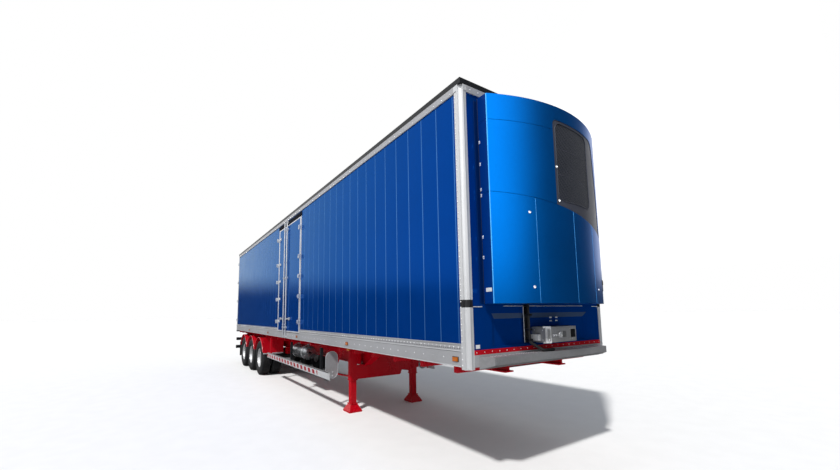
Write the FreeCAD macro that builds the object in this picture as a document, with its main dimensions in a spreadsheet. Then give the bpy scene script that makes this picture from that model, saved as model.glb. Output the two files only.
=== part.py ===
import FreeCAD, Part
import math
import os
from types import SimpleNamespace

import Sketcher

# Refrigerated box semi trailer, in millimetres.
# Row frame: +X forward, +Y to the vehicle's left, +Z up, origin on the ground under
# the middle of the whole vehicle.  "back" in a name is a distance behind the front
# face of the box, so its X is front_x minus that distance.

SIZES = [
    # name, millimetres
    ("box_length", 14000),
    ("box_width", 2500),
    ("box_height", 3136),
    ("deck_height", 1281),
    # body panels and rails
    ("wall_thick", 70),
    ("skin_inset", 14),
    ("rail_flange", 14),
    ("bottom_rail_tall", 240),
    ("bottom_rail_step", 171),
    ("rail_lip", 12),
    ("rail_recess", 5),
    ("top_rail_tall", 79),
    ("roof_edge_tall", 64),
    ("roof_edge_wide", 45),
    ("roof_thick", 54),
    ("roof_lining", 63),
    ("floor_thick", 135),
    # front corner posts
    ("post_side", 112),
    ("post_front", 93),
    ("post_side_column", 62),
    ("post_front_column", 52),
    ("post_radius", 45),
    ("post_flange_inset", 8),
    ("post_foot_drop", 24),
    # front wall foot and step
    ("kick_low", 123),
    ("kick_tall", 49),
    ("kick_thick", 8),
    ("step_reach", 148),
    ("step_rise", 104),
    ("step_edge_tall", 80),
    ("step_root_tall", 131),
    ("step_root_half", 1094),
    ("step_edge_half", 1026),
    ("recess_depth", 22),
    ("recess_half", 830),
    ("recess_low", 199),
    ("recess_high", 549),
    ("recess_bevel", 60),
    # refrigeration unit on the front wall
    ("unit_half", 1020),
    ("unit_low", 649),
    ("unit_high", 2939),
    ("unit_edge_reach", 160),
    ("unit_reach", 400),
    ("unit_frame_inset", 15),
    ("unit_frame_deep", 34),
    ("unit_shell", 25),
    ("unit_seam", 4),
    ("unit_cap", 2639),
    ("waist_near", 1834),
    ("waist_far", 1498),
    ("waist_radius", 9280),
    ("seam_first", -510),
    ("seam_second", 90),
    ("seam_third", 570),
    ("grille_left", -200),
    ("grille_right", 820),
    ("grille_foot", 965),
    ("grille_waist", 930),
    ("grille_waist_rise", 500),
    ("grille_hip", 870),
    ("grille_hip_rise", 860),
    ("grille_rise", 135),
    ("grille_corner", 70),
    ("grille_inset", 4),
    ("grille_thick", 16),
    ("mesh_left", -160),
    ("mesh_right", 550),
    ("mesh_low", 1809),
    ("mesh_high", 2739),
    ("mesh_corner", 90),
    ("machine_half", 620),
    ("machine_low", 729),
    ("machine_high", 1719),
    # services on the front wall
    ("service_left", 330),
    ("service_right", -220),
    ("service_low", 209),
    ("service_high", 384),
    ("service_reach", 180),
    ("hose_radius", 17),
    ("hose_side", -335),
    # rear frame and rear doors
    ("rear_frame_deep", 90),
    ("rear_post_wide", 90),
    ("rear_header_tall", 130),
    ("rear_door_thick", 78),
    ("rear_pin_proud", 55),
    ("rear_pin_inset", 5),
    ("rear_hinge_first", 419),
    ("rear_hinge_pitch", 770),
    ("rear_rod_radius", 13),
    ("rear_rod_stand", 20),
    ("rear_rod_over", 60),
    ("rear_handle_rise", 515),
    # side doors, on the right side
    ("side_door_back", 5600),
    ("front_leaf_wide", 1130),
    ("rear_leaf_wide", 720),
    ("side_door_high", 2869),
    ("side_door_thick", 74),
    ("side_skin_inset", 8),
    ("side_pin_proud", 45),
    ("side_pin_back", 16),
    ("side_handle_rise", 479),
    ("gutter_side", 60),
    ("gutter_tall", 95),
    ("gutter_proud", 8),
    # door clearances and fittings
    ("door_gap", 8),
    ("meeting_gap", 22),
    ("pin_radius", 8),
    ("pin_play", 1.9),
    ("pin_proud", 6),
    ("knuckle_radius", 15),
    ("knuckle_tall", 60),
    ("ear_tall", 22),
    ("ear_gap", 6),
    ("ear_half", 13),
    ("strap_reach", 210),
    ("strap_thick", 6),
    ("rod_radius", 16),
    ("rod_stand", 30),
    ("rod_inset", 95),
    ("rod_foot", 75),
    ("rod_head", 30),
    ("guide_wide", 48),
    ("handle_long", 330),
    # chassis
    ("beam_spacing", 990),
    ("beam_flange", 140),
    ("flange_thick", 16),
    ("web_thick", 10),
    ("beam_depth", 430),
    ("neck_depth", 140),
    ("beam_start", 150),
    ("neck_end", 3150),
    ("beam_deep_start", 3700),
    ("member_tall", 100),
    ("member_wide", 60),
    ("member_first", 300),
    ("member_neck_last", 3500),
    ("coupler_start", 450),
    ("coupler_end", 2250),
    ("coupler_half", 520),
    ("coupler_thick", 10),
    ("kingpin_back", 1350),
    ("kingpin_radius", 25.4),
    ("kingpin_collar", 35.65),
    ("kingpin_shoulder", 36.5),
    ("kingpin_clear", 3.5),
    ("kingpin_seat", 35),
    ("kingpin_neck", 36),
    ("kingpin_foot", 13),
    ("bolster_half", 150),
    # landing legs
    ("leg_back", 3929),
    ("member_stay", 431),
    ("leg_side", 700),
    ("leg_tube", 130),
    ("leg_inner", 110),
    ("leg_tube_low", 580),
    ("leg_drop", 55),
    ("saddle_half", 95),
    ("tongue_half", 40),
    ("shoe_long", 300),
    ("shoe_wide", 260),
    ("shoe_plate", 25),
    ("shoe_tall", 150),
    ("leg_panel_low", 595),
    ("leg_panel_thick", 12),
    ("leg_notch_wide", 280),
    ("leg_notch_tall", 85),
    ("leg_notch_slope", 40),
    ("stay_radius", 19),
    ("stay_reach", 790),
    ("stay_low", 640),
    ("shaft_radius", 16),
    ("shaft_height", 790),
    ("gearbox_half", 60),
    ("gearbox_deep", 55),
    ("crank_radius", 11),
    ("crank_side", 1105),
    ("crank_low", 643),
    # running gear
    ("rear_overhang", 4197),
    ("axle_pitch", 1307),
    ("tyre_radius", 525),
    ("tyre_wide", 280),
    ("tyre_tread_wide", 224),
    ("tyre_wall_radius", 430),
    ("tyre_bead_wide", 250),
    ("rim_radius", 292),
    ("rim_play", 0.3),
    ("wheel_side", 920),
    ("twin_pitch", 330),
    ("rim_wide", 226),
    ("rim_wall", 14),
    ("rim_dish", 30),
    ("disc_thick", 24),
    ("hub_radius", 105),
    ("hub_out", 150),
    ("brake_recess", 40),
    ("spindle_radius", 50),
    ("spindle_play", 2.9),
    ("spindle_out", 90),
    ("axle_radius", 70),
    ("seat_half", 60),
    ("axle_half", 640),
    ("spring_side", 495),
    ("spring_wide", 76),
    ("spring_thick", 60),
    ("spring_half", 560),
    ("spring_rise", 70),
    ("hanger_wide", 100),
    ("hanger_long", 150),
    # guards
    ("guard_radius", 640),
    ("guard_thick", 6),
    ("guard_wide", 600),
    ("guard_out", 1240),
    ("guard_panel_ahead", 683),
    ("guard_panel_low", 685),
    ("rail_guard_out", 1220),
    ("rail_guard_thick", 22),
    ("rail_guard_low", 627),
    ("rail_guard_tall", 150),
    ("rail_guard_front", 3830),
    ("rail_guard_ahead", 1123),
    ("guard_stay_wide", 50),
    ("plate_back", 4080),
    ("plate_wide", 250),
    ("plate_low", 622),
    ("plate_tall", 520),
    ("plate_thick", 12),
    # tank, rear bars, flaps, lamps
    ("tank_back", 5700),
    ("tank_long", 1000),
    ("tank_radius", 165),
    ("tank_side", 950),
    ("tank_height", 980),
    ("tank_crown", 45),
    ("bumper_low", 555),
    ("bumper_tall", 120),
    ("bumper_deep", 100),
    ("lamp_bar_low", 870),
    ("lamp_bar_tall", 110),
    ("buffer_tall", 60),
    ("flap_low", 330),
    ("flap_thick", 10),
    ("flap_behind", 690),
    ("lamp_first", 205),
    ("lamp_pitch", 2780),
    ("lamp_rise", 54),
    ("lamp_long", 80),
    ("lamp_tall", 44),
    ("lamp_proud", 12),
]
# counts of flat sides
WHEEL_SIDES = 18
HUB_SIDES = 10
TANK_SIDES = 20
ROD_SIDES = 6
PIN_SIDES = 6
STAY_SIDES = 6
HOSE_SIDES = 8
HOSE_STEPS = 4
SHEET = "Dims"


class Dim:
    """A size: its number, and the sheet expression that gives it."""

    def __init__(self, value, text=None):
        self.value = float(value)
        self.text = text or repr(float(value))

    @staticmethod
    def of(other):
        return other if isinstance(other, Dim) else Dim(other)

    def joined(self, sign, other, value):
        return Dim(value, "(" + self.text + sign + other.text + ")")

    def __add__(self, other):
        other = Dim.of(other)
        return self.joined(" + ", other, self.value + other.value)

    def __sub__(self, other):
        other = Dim.of(other)
        return self.joined(" - ", other, self.value - other.value)

    def __mul__(self, other):
        other = Dim.of(other)
        return self.joined(" * ", other, self.value * other.value)

    def __truediv__(self, other):
        other = Dim.of(other)
        return self.joined(" / ", other, self.value / other.value)

    def __radd__(self, other):
        return Dim.of(other) + self

    def __rsub__(self, other):
        return Dim.of(other) - self

    def __rmul__(self, other):
        return Dim.of(other) * self

    def __neg__(self):
        return Dim(0) - self

    def root(self):
        return Dim(math.sqrt(self.value), "sqrt(" + self.text + ")")


doc = FreeCAD.newDocument("RefrigeratedTrailer")
sheet = doc.addObject("Spreadsheet::Sheet", SHEET)
d = SimpleNamespace()
for row, (name, size) in enumerate(SIZES, start=1):
    sheet.set("A%d" % row, name)
    sheet.set("B%d" % row, str(size))
    sheet.setAlias("B%d" % row, name)
    setattr(d, name, Dim(size, SHEET + "." + name))
doc.recompute()

nodes = []


# ---------------------------------------------------------------- helpers

def bind(thing, prop, size):
    """Set a property from a size, tied to the sheet where the size comes from it."""
    size = Dim.of(size)
    if SHEET in size.text:
        thing.setExpression(prop, size.text)
    return size.value


def place(thing, at, turn=None):
    base = FreeCAD.Vector(*[Dim.of(c).value for c in at])
    thing.Placement = FreeCAD.Placement(base, turn or FreeCAD.Rotation())
    for axis, size in zip("xyz", at):
        bind(thing, ".Placement.Base." + axis, size)
    return thing


def ordered(pair):
    low, high = Dim.of(pair[0]), Dim.of(pair[1])
    return (low, high) if low.value <= high.value else (high, low)


def box(label, x, y, z):
    """A block between pairs of coordinates."""
    spans = [ordered(pair) for pair in (x, y, z)]
    block = doc.addObject("Part::Box", label)
    for prop, (low, high) in zip(("Length", "Width", "Height"), spans):
        setattr(block, prop, bind(block, prop, high - low))
    return place(block, [low for low, high in spans])


TURNS = {
    "X": FreeCAD.Rotation(FreeCAD.Vector(0, 1, 0), 90),
    "Y": FreeCAD.Rotation(FreeCAD.Vector(1, 0, 0), -90),
    "Z": FreeCAD.Rotation(),
}


def rod(label, axis, radius, length, at):
    """A round bar that starts at a point and runs along an axis."""
    bar = doc.addObject("Part::Cylinder", label)
    bar.Radius = bind(bar, "Radius", radius)
    bar.Height = bind(bar, "Height", length)
    return place(bar, at, TURNS[axis])


def prism(label, axis, sides, radius, length, at, rolled=0):
    """A bar with flat sides, its corners on the radius, along an axis from a point."""
    bar = doc.addObject("Part::Prism", label)
    bar.Polygon = sides
    bar.Circumradius = bind(bar, "Circumradius", radius)
    bar.Height = bind(bar, "Height", length)
    about = FreeCAD.Rotation(FreeCAD.Vector(0, 0, 1), rolled)
    return place(bar, at, TURNS[axis].multiply(about))


def ring(sides, axis, offset, radius):
    """Corners of a regular polygon across an axis, the first one at the bottom."""
    offset, radius = Dim.of(offset).value, Dim.of(radius).value
    corners = []
    for i in range(sides):
        angle = 2 * math.pi * i / sides - math.pi / 2
        across, up = radius * math.cos(angle), radius * math.sin(angle)
        corners.append(FreeCAD.Vector(across, offset, up) if axis == "Y"
                       else FreeCAD.Vector(offset, across, up))
    return corners


def skin(label, rings, joined=False):
    """A flat-faced solid through rings of corners, taken in turn.

    Its ends are capped, or with joined the last ring meets the first.
    """
    after = rings[1:] + rings[:1] if joined else rings[1:]
    faces = [] if joined else [Part.Face(Part.makePolygon(end + end[:1]))
                               for end in (rings[0], rings[-1])]
    for one, two in zip(rings, after):
        for i in range(len(one)):
            j = (i + 1) % len(one)
            strip = [one[i], one[j], two[j], two[i], one[i]]
            faces.append(Part.Face(Part.makePolygon(strip)))
    shell = Part.makeShell(faces)
    shell.sewShape()
    solid = Part.Solid(shell)
    if solid.Volume < 0:
        solid.reverse()
    piece = doc.addObject("Part::Feature", label)
    piece.Shape = solid.removeSplitter()
    return piece


def rounded(route, bend, steps):
    """A broken line with each inner corner turned into a few short steps."""
    points = [route[0]]
    for before, corner, after in zip(route, route[1:], route[2:]):
        way_in = (corner - before).normalize()
        way_out = (after - corner).normalize()
        turn = way_in.getAngle(way_out)
        inward = (way_out - way_in).normalize()
        centre = corner + inward * (bend / math.cos(turn / 2))
        trim = bend * math.tan(turn / 2)
        first = corner - way_in * trim - centre
        last = corner + way_out * trim - centre
        for k in range(steps + 1):
            share = k / steps
            points.append(centre + first * (math.sin((1 - share) * turn) / math.sin(turn))
                          + last * (math.sin(share * turn) / math.sin(turn)))
    points.append(route[-1])
    return points


def tube(label, route, radius, sides):
    """A bar of flat strips along a broken line, mitred where it turns."""
    ways = [(b - a).normalize() for a, b in zip(route, route[1:])]
    least = min((abs(ways[0].x), 0), (abs(ways[0].y), 1), (abs(ways[0].z), 2))[1]
    axes = [FreeCAD.Vector(1, 0, 0), FreeCAD.Vector(0, 1, 0), FreeCAD.Vector(0, 0, 1)]
    u = ways[0].cross(axes[least]).normalize()
    v = ways[0].cross(u).normalize()
    angles = [2 * math.pi * i / sides for i in range(sides)]
    size = Dim.of(radius).value
    rings = [[route[0] + (u * math.cos(a) + v * math.sin(a)) * size for a in angles]]
    for k, way in enumerate(ways):
        mitre = (way + ways[k + 1]).normalize() if k + 1 < len(ways) else way
        rings.append([p + way * ((route[k + 1] - p).dot(mitre) / way.dot(mitre))
                      for p in rings[-1]])
    return skin(label, rings)


def draw(sketch, loop):
    """Draw one closed loop.

    A corner is (u, v), or (u, v, radius) where the side that leaves it is an arc:
    the arc's centre lies left of the way round for a positive radius, right for a
    negative one.  A loop ("circle", u, v, radius) is a full circle.
    """
    vector = FreeCAD.Vector
    if loop[0] == "circle":
        u, v, radius = [Dim.of(c) for c in loop[1:]]
        circle = Part.Circle(vector(u.value, v.value, 0), vector(0, 0, 1), radius.value)
        edge = sketch.addGeometry(circle)
        rules = (("DistanceX", u, (-1, 1, edge, 3)), ("DistanceY", v, (-1, 1, edge, 3)),
                 ("Radius", radius, (edge,)))
        for kind, size, where in rules:
            rule = sketch.addConstraint(Sketcher.Constraint(kind, *where, size.value))
            bind(sketch, "Constraints[%d]" % rule, size)
        return
    corners = [[Dim.of(c) for c in corner] for corner in loop]
    ends = []
    for here, after in zip(corners, corners[1:] + corners[:1]):
        start = vector(here[0].value, here[1].value, 0)
        stop = vector(after[0].value, after[1].value, 0)
        if len(here) == 2:
            edge = sketch.addGeometry(Part.LineSegment(start, stop))
            ends.append((edge, 1, 2))
            continue
        radius = abs(here[2].value)
        left = here[2].value > 0
        chord = stop - start
        rise = math.sqrt(max(radius ** 2 - (chord.Length / 2) ** 2, 0.0))
        side = vector(-chord.y, chord.x, 0).normalize() * (rise if left else -rise)
        centre = (start + stop) * 0.5 + side
        first, last = (start, stop) if left else (stop, start)
        angles = [math.atan2(p.y - centre.y, p.x - centre.x) for p in (first, last)]
        circle = Part.Circle(centre, vector(0, 0, 1), radius)
        edge = sketch.addGeometry(Part.ArcOfCircle(circle, *angles))
        ends.append((edge, 1, 2) if left else (edge, 2, 1))
        if rise < 1e-6 * radius:
            level = here[1]
            rule = sketch.addConstraint(
                Sketcher.Constraint("DistanceY", -1, 1, edge, 3, level.value))
            bind(sketch, "Constraints[%d]" % rule, level)
            continue
        size = here[2] if left else -here[2]
        rule = sketch.addConstraint(Sketcher.Constraint("Radius", edge, size.value))
        bind(sketch, "Constraints[%d]" % rule, size)
    for i, (edge, begin, finish) in enumerate(ends):
        next_edge, next_begin, _ = ends[(i + 1) % len(ends)]
        sketch.addConstraint(
            Sketcher.Constraint("Coincident", edge, finish, next_edge, next_begin))
        for kind, size in zip(("DistanceX", "DistanceY"), corners[i][:2]):
            rule = sketch.addConstraint(
                Sketcher.Constraint(kind, -1, 1, edge, begin, size.value))
            bind(sketch, "Constraints[%d]" % rule, size)


def sketched(label, plane, loops):
    """A body with one sketch on one of its own origin planes."""
    body = doc.addObject("PartDesign::Body", label)
    sketch = body.newObject("Sketcher::SketchObject", label + "_sketch")
    role = plane + "_Plane"
    face = [o for o in body.Origin.OriginFeatures if o.Role == role][0]
    sketch.AttachmentSupport = [(face, "")]
    sketch.MapMode = "FlatFace"
    for loop in loops:
        draw(sketch, loop)
    return body, sketch


def pad(label, plane, loops, length, at=(0, 0, 0)):
    """Extrude a sketch towards +X, +Y or +Z, the normal of its plane."""
    body, sketch = sketched(label, plane, loops)
    feature = body.newObject("PartDesign::Pad", label + "_pad")
    feature.Profile = sketch
    feature.Length = bind(feature, "Length", length)
    feature.Reversed = plane == "XZ"
    return place(body, at)


def turned(label, plane, loop, about, at=(0, 0, 0)):
    """Revolve a closed loop about its sketch's H_Axis or V_Axis."""
    body, sketch = sketched(label, plane, [loop])
    feature = body.newObject("PartDesign::Revolution", label + "_turn")
    feature.Profile = sketch
    feature.ReferenceAxis = (sketch, [about])
    feature.Angle = 360
    return place(body, at)


def fused(label, pieces):
    joined = doc.addObject("Part::MultiFuse", label)
    joined.Shapes = pieces
    joined.Refine = True
    return joined


def grouped(label, pieces):
    """Pieces that share a node without touching."""
    group = doc.addObject("Part::Compound", label)
    group.Links = pieces
    return group


def cut(label, base, tools):
    result = doc.addObject("Part::Cut", label)
    result.Base = base
    result.Tool = tools[0] if len(tools) == 1 else fused(label + "_tools", tools)
    return result


def common(label, base, tool):
    result = doc.addObject("Part::Common", label)
    result.Base = base
    result.Tool = tool
    return result


def mirrored(label, piece):
    """The same piece on the other side of the vehicle."""
    other = doc.addObject("Part::Mirroring", label)
    other.Source = piece
    other.Normal = FreeCAD.Vector(0, 1, 0)
    return other


def both_sides(label, piece):
    return [piece, mirrored(label + "_mirrored", piece)]


def node(name, pieces):
    """Register a finished sub-part under the name of its file."""
    if not isinstance(pieces, list):
        pieces = [pieces]
    thing = pieces[0] if len(pieces) == 1 else grouped(name, pieces)
    thing.Label = name
    nodes.append((name, thing))
    return thing


# ------------------------------------------------------- shared stations

half_width = d.box_width / 2
front_reach = d.unit_reach
rear_reach = d.rear_pin_proud + d.knuckle_radius
front_x = (d.box_length + rear_reach - front_reach) / 2
rear_x = front_x - d.box_length
edge_top = d.deck_height + d.box_height
rail_top = edge_top - d.roof_edge_tall
wall_top = rail_top - d.rail_flange
floor_low = d.deck_height + d.rail_flange
floor_top = floor_low + d.floor_thick
skin_side = half_width - d.skin_inset
lining_side = skin_side - d.wall_thick
wall_face = front_x - d.skin_inset
lining_face = wall_face - d.wall_thick
body_rear = rear_x + d.rear_frame_deep
sill_low = d.deck_height + d.rail_flange
rear_header_low = rail_top - d.rear_header_tall


first_axle_back = d.box_length - d.rear_overhang
panel_back = first_axle_back - d.guard_panel_ahead
rail_guard_rear = first_axle_back - d.rail_guard_ahead
flap_back = first_axle_back + 2 * d.axle_pitch + d.flap_behind
step_top = d.deck_height + d.step_rise
side_door_top = d.deck_height + d.side_door_high


def back(distance):
    return front_x - distance


def above(rise):
    """A height measured from the lower edge of the box."""
    return d.deck_height + rise


# --------------------------------------------------- insulated box panels

def insulated_box():
    long_x = (body_rear, lining_face)
    node("floor", box("floor", (body_rear, wall_face), (-lining_side, lining_side),
                      (floor_low, floor_top)))
    left = box("wall_left", long_x, (lining_side, skin_side), (floor_low, wall_top))
    right = box("right_blank", long_x, (-skin_side, -lining_side), (floor_low, wall_top))
    doorway = box("right_doorway", (back(side_door_rear), back(d.side_door_back)),
                  (-half_width, -lining_side + 1), (floor_top, side_door_top))
    node("side_walls", [left, cut("wall_right", right, [doorway])])
    roof_half = half_width - d.roof_edge_wide
    deck = box("roof_deck", (rear_x, front_x - d.roof_edge_wide), (-roof_half, roof_half),
               (rail_top, rail_top + d.roof_thick))
    lining = box("roof_lining", (body_rear, lining_face), (-lining_side, lining_side),
                 (rail_top - d.roof_lining, rail_top))
    node("roof", fused("roof", [deck, lining]))


def front_wall():
    """Front wall with the shallow bevelled recess below the refrigeration unit."""
    wall_half = half_width - d.post_front_column
    wall = pad("front_wall_panel", "YZ", [[
        (-wall_half, floor_top), (wall_half, floor_top), (wall_half, wall_top),
        (-wall_half, wall_top)]], d.wall_thick, (lining_face, 0, 0))
    outer = d.recess_half + d.recess_bevel
    recess = doc.addObject("Part::Wedge", "front_recess")
    spans = {
        "Xmin": -outer, "Xmax": outer, "Zmin": 0, "Zmax": d.recess_high - d.recess_low,
        "Ymin": 0, "Ymax": d.recess_depth, "X2min": -d.recess_half, "X2max": d.recess_half,
        "Z2min": 0, "Z2max": d.recess_high - d.recess_low - d.recess_bevel,
    }
    for prop, size in spans.items():
        setattr(recess, prop, bind(recess, prop, size))
    quarter = FreeCAD.Rotation(FreeCAD.Vector(0, 0, 1), 90)
    place(recess, (wall_face, 0, above(d.recess_low)), quarter)
    node("front_wall", cut("front_wall", wall, [recess]))
    kick_half = half_width - d.post_front
    node("kick_strip", box("kick_strip", (wall_face, wall_face + d.kick_thick),
                           (-kick_half, kick_half),
                           (above(d.kick_low), above(d.kick_low) + d.kick_tall)))


# -------------------------------------------------------- rails and posts

def rails():
    """Two-step bottom rails, front sill, top rails and the dark roof edge."""
    inner = half_width - d.skin_inset
    face = half_width - d.rail_recess
    step = d.deck_height + d.bottom_rail_step
    top = d.deck_height + d.bottom_rail_tall
    low = d.deck_height
    profile = [
        (-half_width, low), (-lining_side, low), (-lining_side, floor_low),
        (-inner, floor_low), (-inner, top), (-half_width, top),
        (-half_width, top - d.rail_lip), (-face, top - d.rail_lip), (-face, step),
        (-half_width, step), (-half_width, step - d.rail_lip),
        (-face, step - d.rail_lip), (-face, low + d.rail_lip),
        (-half_width, low + d.rail_lip)]
    rail_end = back(d.post_side)
    right = pad("bottom_rail_right_bar", "YZ", [profile], rail_end - rear_x,
                (rear_x, 0, 0))
    left = mirrored("bottom_rail_left", right)
    notch = box("sill_notch", (back(side_door_rear), back(d.side_door_back)),
                (-half_width - 1, -inner + 1), (floor_top - 5, top + 1))
    right = cut("bottom_rail_right", right, [notch])
    sill_half = half_width - d.post_front
    sill = box("front_sill", (wall_face, wall_face + d.kick_thick),
               (-sill_half, sill_half), (d.deck_height, above(d.kick_low)))
    node("bottom_rails", [right, left, sill])

    rail_low = rail_top - d.top_rail_tall
    top_profile = [
        (-half_width, rail_low), (-inner, rail_low), (-inner, wall_top),
        (-lining_side, wall_top), (-lining_side, rail_top), (-half_width, rail_top)]
    side = pad("top_rail_side", "YZ", [top_profile], rail_end - body_rear,
               (body_rear, 0, 0))
    face_half = half_width - d.post_front
    across = pad("top_rail_front", "XZ", [[
        (front_x, rail_low), (front_x, rail_top), (lining_face, rail_top),
        (lining_face, wall_top), (wall_face, wall_top), (wall_face, rail_low)]],
        2 * face_half, (0, -face_half, 0))
    node("top_rails", both_sides("top_rail_side", side) + [across])

    ring = box("edge_outer", (rear_x, front_x), (-half_width, half_width),
               (rail_top, edge_top))
    roof_half = half_width - d.roof_edge_wide
    hole = box("edge_inner", (rear_x - 1, front_x - d.roof_edge_wide),
               (-roof_half, roof_half), (rail_top - 1, edge_top + 1))
    node("roof_edge", cut("roof_edge", ring, [hole]))


def post_outline(flange_inset):
    """Half-round corner column with a riveted flange down each wall.

    Corners are (X, Y) for the right-hand post.
    """
    corner = [
        (d.post_radius, 0), (d.post_side_column, 0), (d.post_side_column, flange_inset),
        (d.post_side, flange_inset), (d.post_side, d.skin_inset),
        (d.skin_inset + d.wall_thick, d.skin_inset),
        (d.skin_inset + d.wall_thick, d.post_front_column),
        (d.skin_inset, d.post_front_column), (d.skin_inset, d.post_front),
        (flange_inset, d.post_front), (flange_inset, d.post_front_column),
        (0, d.post_front_column), (0, d.post_radius, d.post_radius)]
    return [(front_x - c[0], -half_width + c[1]) + tuple(c[2:]) for c in corner]


def posts():
    foot = d.deck_height - d.post_foot_drop
    cap_low = rail_top - d.roof_edge_tall - 2
    column = pad("corner_column", "XY", [post_outline(d.post_flange_inset)],
                 cap_low - foot, (0, 0, foot))
    cap = pad("corner_cap", "XY", [post_outline(Dim(1))], rail_top - cap_low,
              (0, 0, cap_low))
    node("corner_posts", both_sides("corner_post", fused("corner_post", [column, cap])))


def front_step():
    """Shallow step across the front: a tapered slab with chamfered ends."""
    root_x = wall_face + d.kick_thick
    edge_x = front_x + d.step_reach
    low = step_top - d.step_root_tall
    plan = [(root_x, -d.step_root_half), (edge_x, -d.step_edge_half),
            (edge_x, d.step_edge_half), (root_x, d.step_root_half)]
    slab = pad("front_step_slab", "XY", [plan], d.step_root_tall, (0, 0, low))
    under = [(root_x, low), (edge_x, low), (edge_x, step_top - d.step_edge_tall)]
    wedge = pad("front_step_under", "XZ", [under], 2 * half_width, (0, -half_width, 0))
    node("front_step", cut("front_step", slab, [wedge]))


# ------------------------------------------------------ refrigeration unit

def unit_plan(inset, root):
    """Plan of the bowed housing, shrunk by inset on its outer faces."""
    half = d.unit_half - inset
    bow = d.unit_reach - d.unit_edge_reach
    radius = (d.unit_half * d.unit_half + bow * bow) / (2 * bow)
    edge = front_x + d.unit_edge_reach - inset
    return [(root, half), (root, -half), (edge, -half, radius), (edge, half)]


def unit_skin(label, inset, thick, low, high):
    """A bowed shell that stands inset behind the housing's outer face."""
    frame_x = wall_face + d.unit_frame_deep
    outer = pad(label + "_outer", "XY", [unit_plan(inset, frame_x)], high - low,
                (0, 0, low))
    inner = pad(label + "_inner", "XY", [unit_plan(inset + thick, frame_x - 1)],
                high - low + 2, (0, 0, low - 1))
    return cut(label, outer, [inner])


def grille_outline():
    """Outline of the dark surround, as (Y, Z): square below, rounded above."""
    left, right = d.grille_left, d.grille_right
    top = above(d.unit_cap + d.grille_rise)
    corner = d.grille_corner
    far = above(d.waist_far)
    return [
        (left, far - 60), (d.grille_foot, far - 60),
        (d.grille_waist, far + d.grille_waist_rise),
        (d.grille_hip, far + d.grille_hip_rise), (right, top - 2 * corner, 2 * corner),
        (right - 2 * corner, top), (left + corner, top, corner), (left, top - corner)]


def refrigeration_unit():
    """Bowed housing in lower panels, upper panel and cap, with its grille."""
    frame_x = wall_face + d.unit_frame_deep
    low, high = above(d.unit_low), above(d.unit_high)
    inner_half = d.unit_half - d.unit_frame_inset
    frame = box("unit_frame_blank", (wall_face, frame_x), (-inner_half, inner_half),
                (low + d.unit_frame_inset, high - d.unit_frame_inset))
    window_half = d.machine_half + 40
    window = box("unit_frame_window", (wall_face - 1, frame_x + 1),
                 (-window_half, window_half),
                 (above(d.machine_low) - 20, above(d.machine_high) + 20))
    node("unit_frame", cut("unit_frame", frame, [window]))

    outer = pad("unit_outer", "XY", [unit_plan(Dim(0), frame_x)], high - low, (0, 0, low))
    inner = pad("unit_inner", "XY", [unit_plan(d.unit_shell, frame_x - 1)],
                high - low - 2 * d.unit_shell, (0, 0, low + d.unit_shell))
    shell = cut("unit_shell_whole", outer, [inner])

    half = d.unit_half + 10
    gap = d.unit_seam
    near, far = above(d.waist_near), above(d.waist_far)
    below_waist = [(-half, low - 10), (half, low - 10), (half, far, d.waist_radius),
                   (-half, near)]
    over_waist = [(-half, near + gap, -d.waist_radius), (half, far + gap),
                  (half, high + 10), (-half, high + 10)]
    reach = d.unit_reach + d.unit_frame_deep + 200
    lower_zone = pad("unit_lower_zone", "YZ", [below_waist], reach, (wall_face, 0, 0))
    upper_zone = pad("unit_upper_zone", "YZ", [over_waist], reach, (wall_face, 0, 0))
    seam_x = (frame_x - 2, front_x + reach)
    seams = [box("unit_seam_%d" % i, seam_x, (y, y + gap), (low - 1, near))
             for i, y in enumerate((d.seam_first, d.seam_second, d.seam_third))]
    node("unit_lower_cover", cut("unit_lower", common("unit_lower_whole", shell,
                                                      lower_zone), seams))

    zone_x = front_x + d.unit_edge_reach - 60
    opening = pad("grille_opening", "YZ", [grille_outline()], reach, (zone_x, 0, 0))
    cap_seam = box("unit_cap_seam", seam_x, (-half, half),
                   (above(d.unit_cap), above(d.unit_cap) + gap))
    upper = common("unit_upper_whole", shell, upper_zone)
    node("unit_upper_cover", cut("unit_upper", upper, [opening, cap_seam]))

    face = unit_skin("grille_face", d.grille_inset, d.grille_thick / 2, low, high)
    window = pad("grille_window", "YZ", [[
        (d.mesh_left, above(d.mesh_low) + d.mesh_corner, d.mesh_corner),
        (d.mesh_left + d.mesh_corner, above(d.mesh_low)),
        (d.mesh_right - d.mesh_corner, above(d.mesh_low), d.mesh_corner),
        (d.mesh_right, above(d.mesh_low) + d.mesh_corner),
        (d.mesh_right, above(d.mesh_high) - d.mesh_corner, d.mesh_corner),
        (d.mesh_right - d.mesh_corner, above(d.mesh_high)),
        (d.mesh_left + d.mesh_corner, above(d.mesh_high), d.mesh_corner),
        (d.mesh_left, above(d.mesh_high) - d.mesh_corner)]], reach, (zone_x, 0, 0))
    rear = unit_skin("grille_mesh", d.grille_inset + d.grille_thick / 2,
                     d.grille_thick / 2, low, high)
    slab = fused("grille_slab", [cut("grille_surround", face, [window]), rear])
    fitted = common("grille_fitted", slab, opening)
    node("unit_grille", common("unit_grille", fitted, upper_zone))

    node("unit_machine", box("unit_machine", (wall_face, front_x + d.unit_edge_reach - 40),
                             (-d.machine_half, d.machine_half),
                             (above(d.machine_low), above(d.machine_high))))


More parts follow.
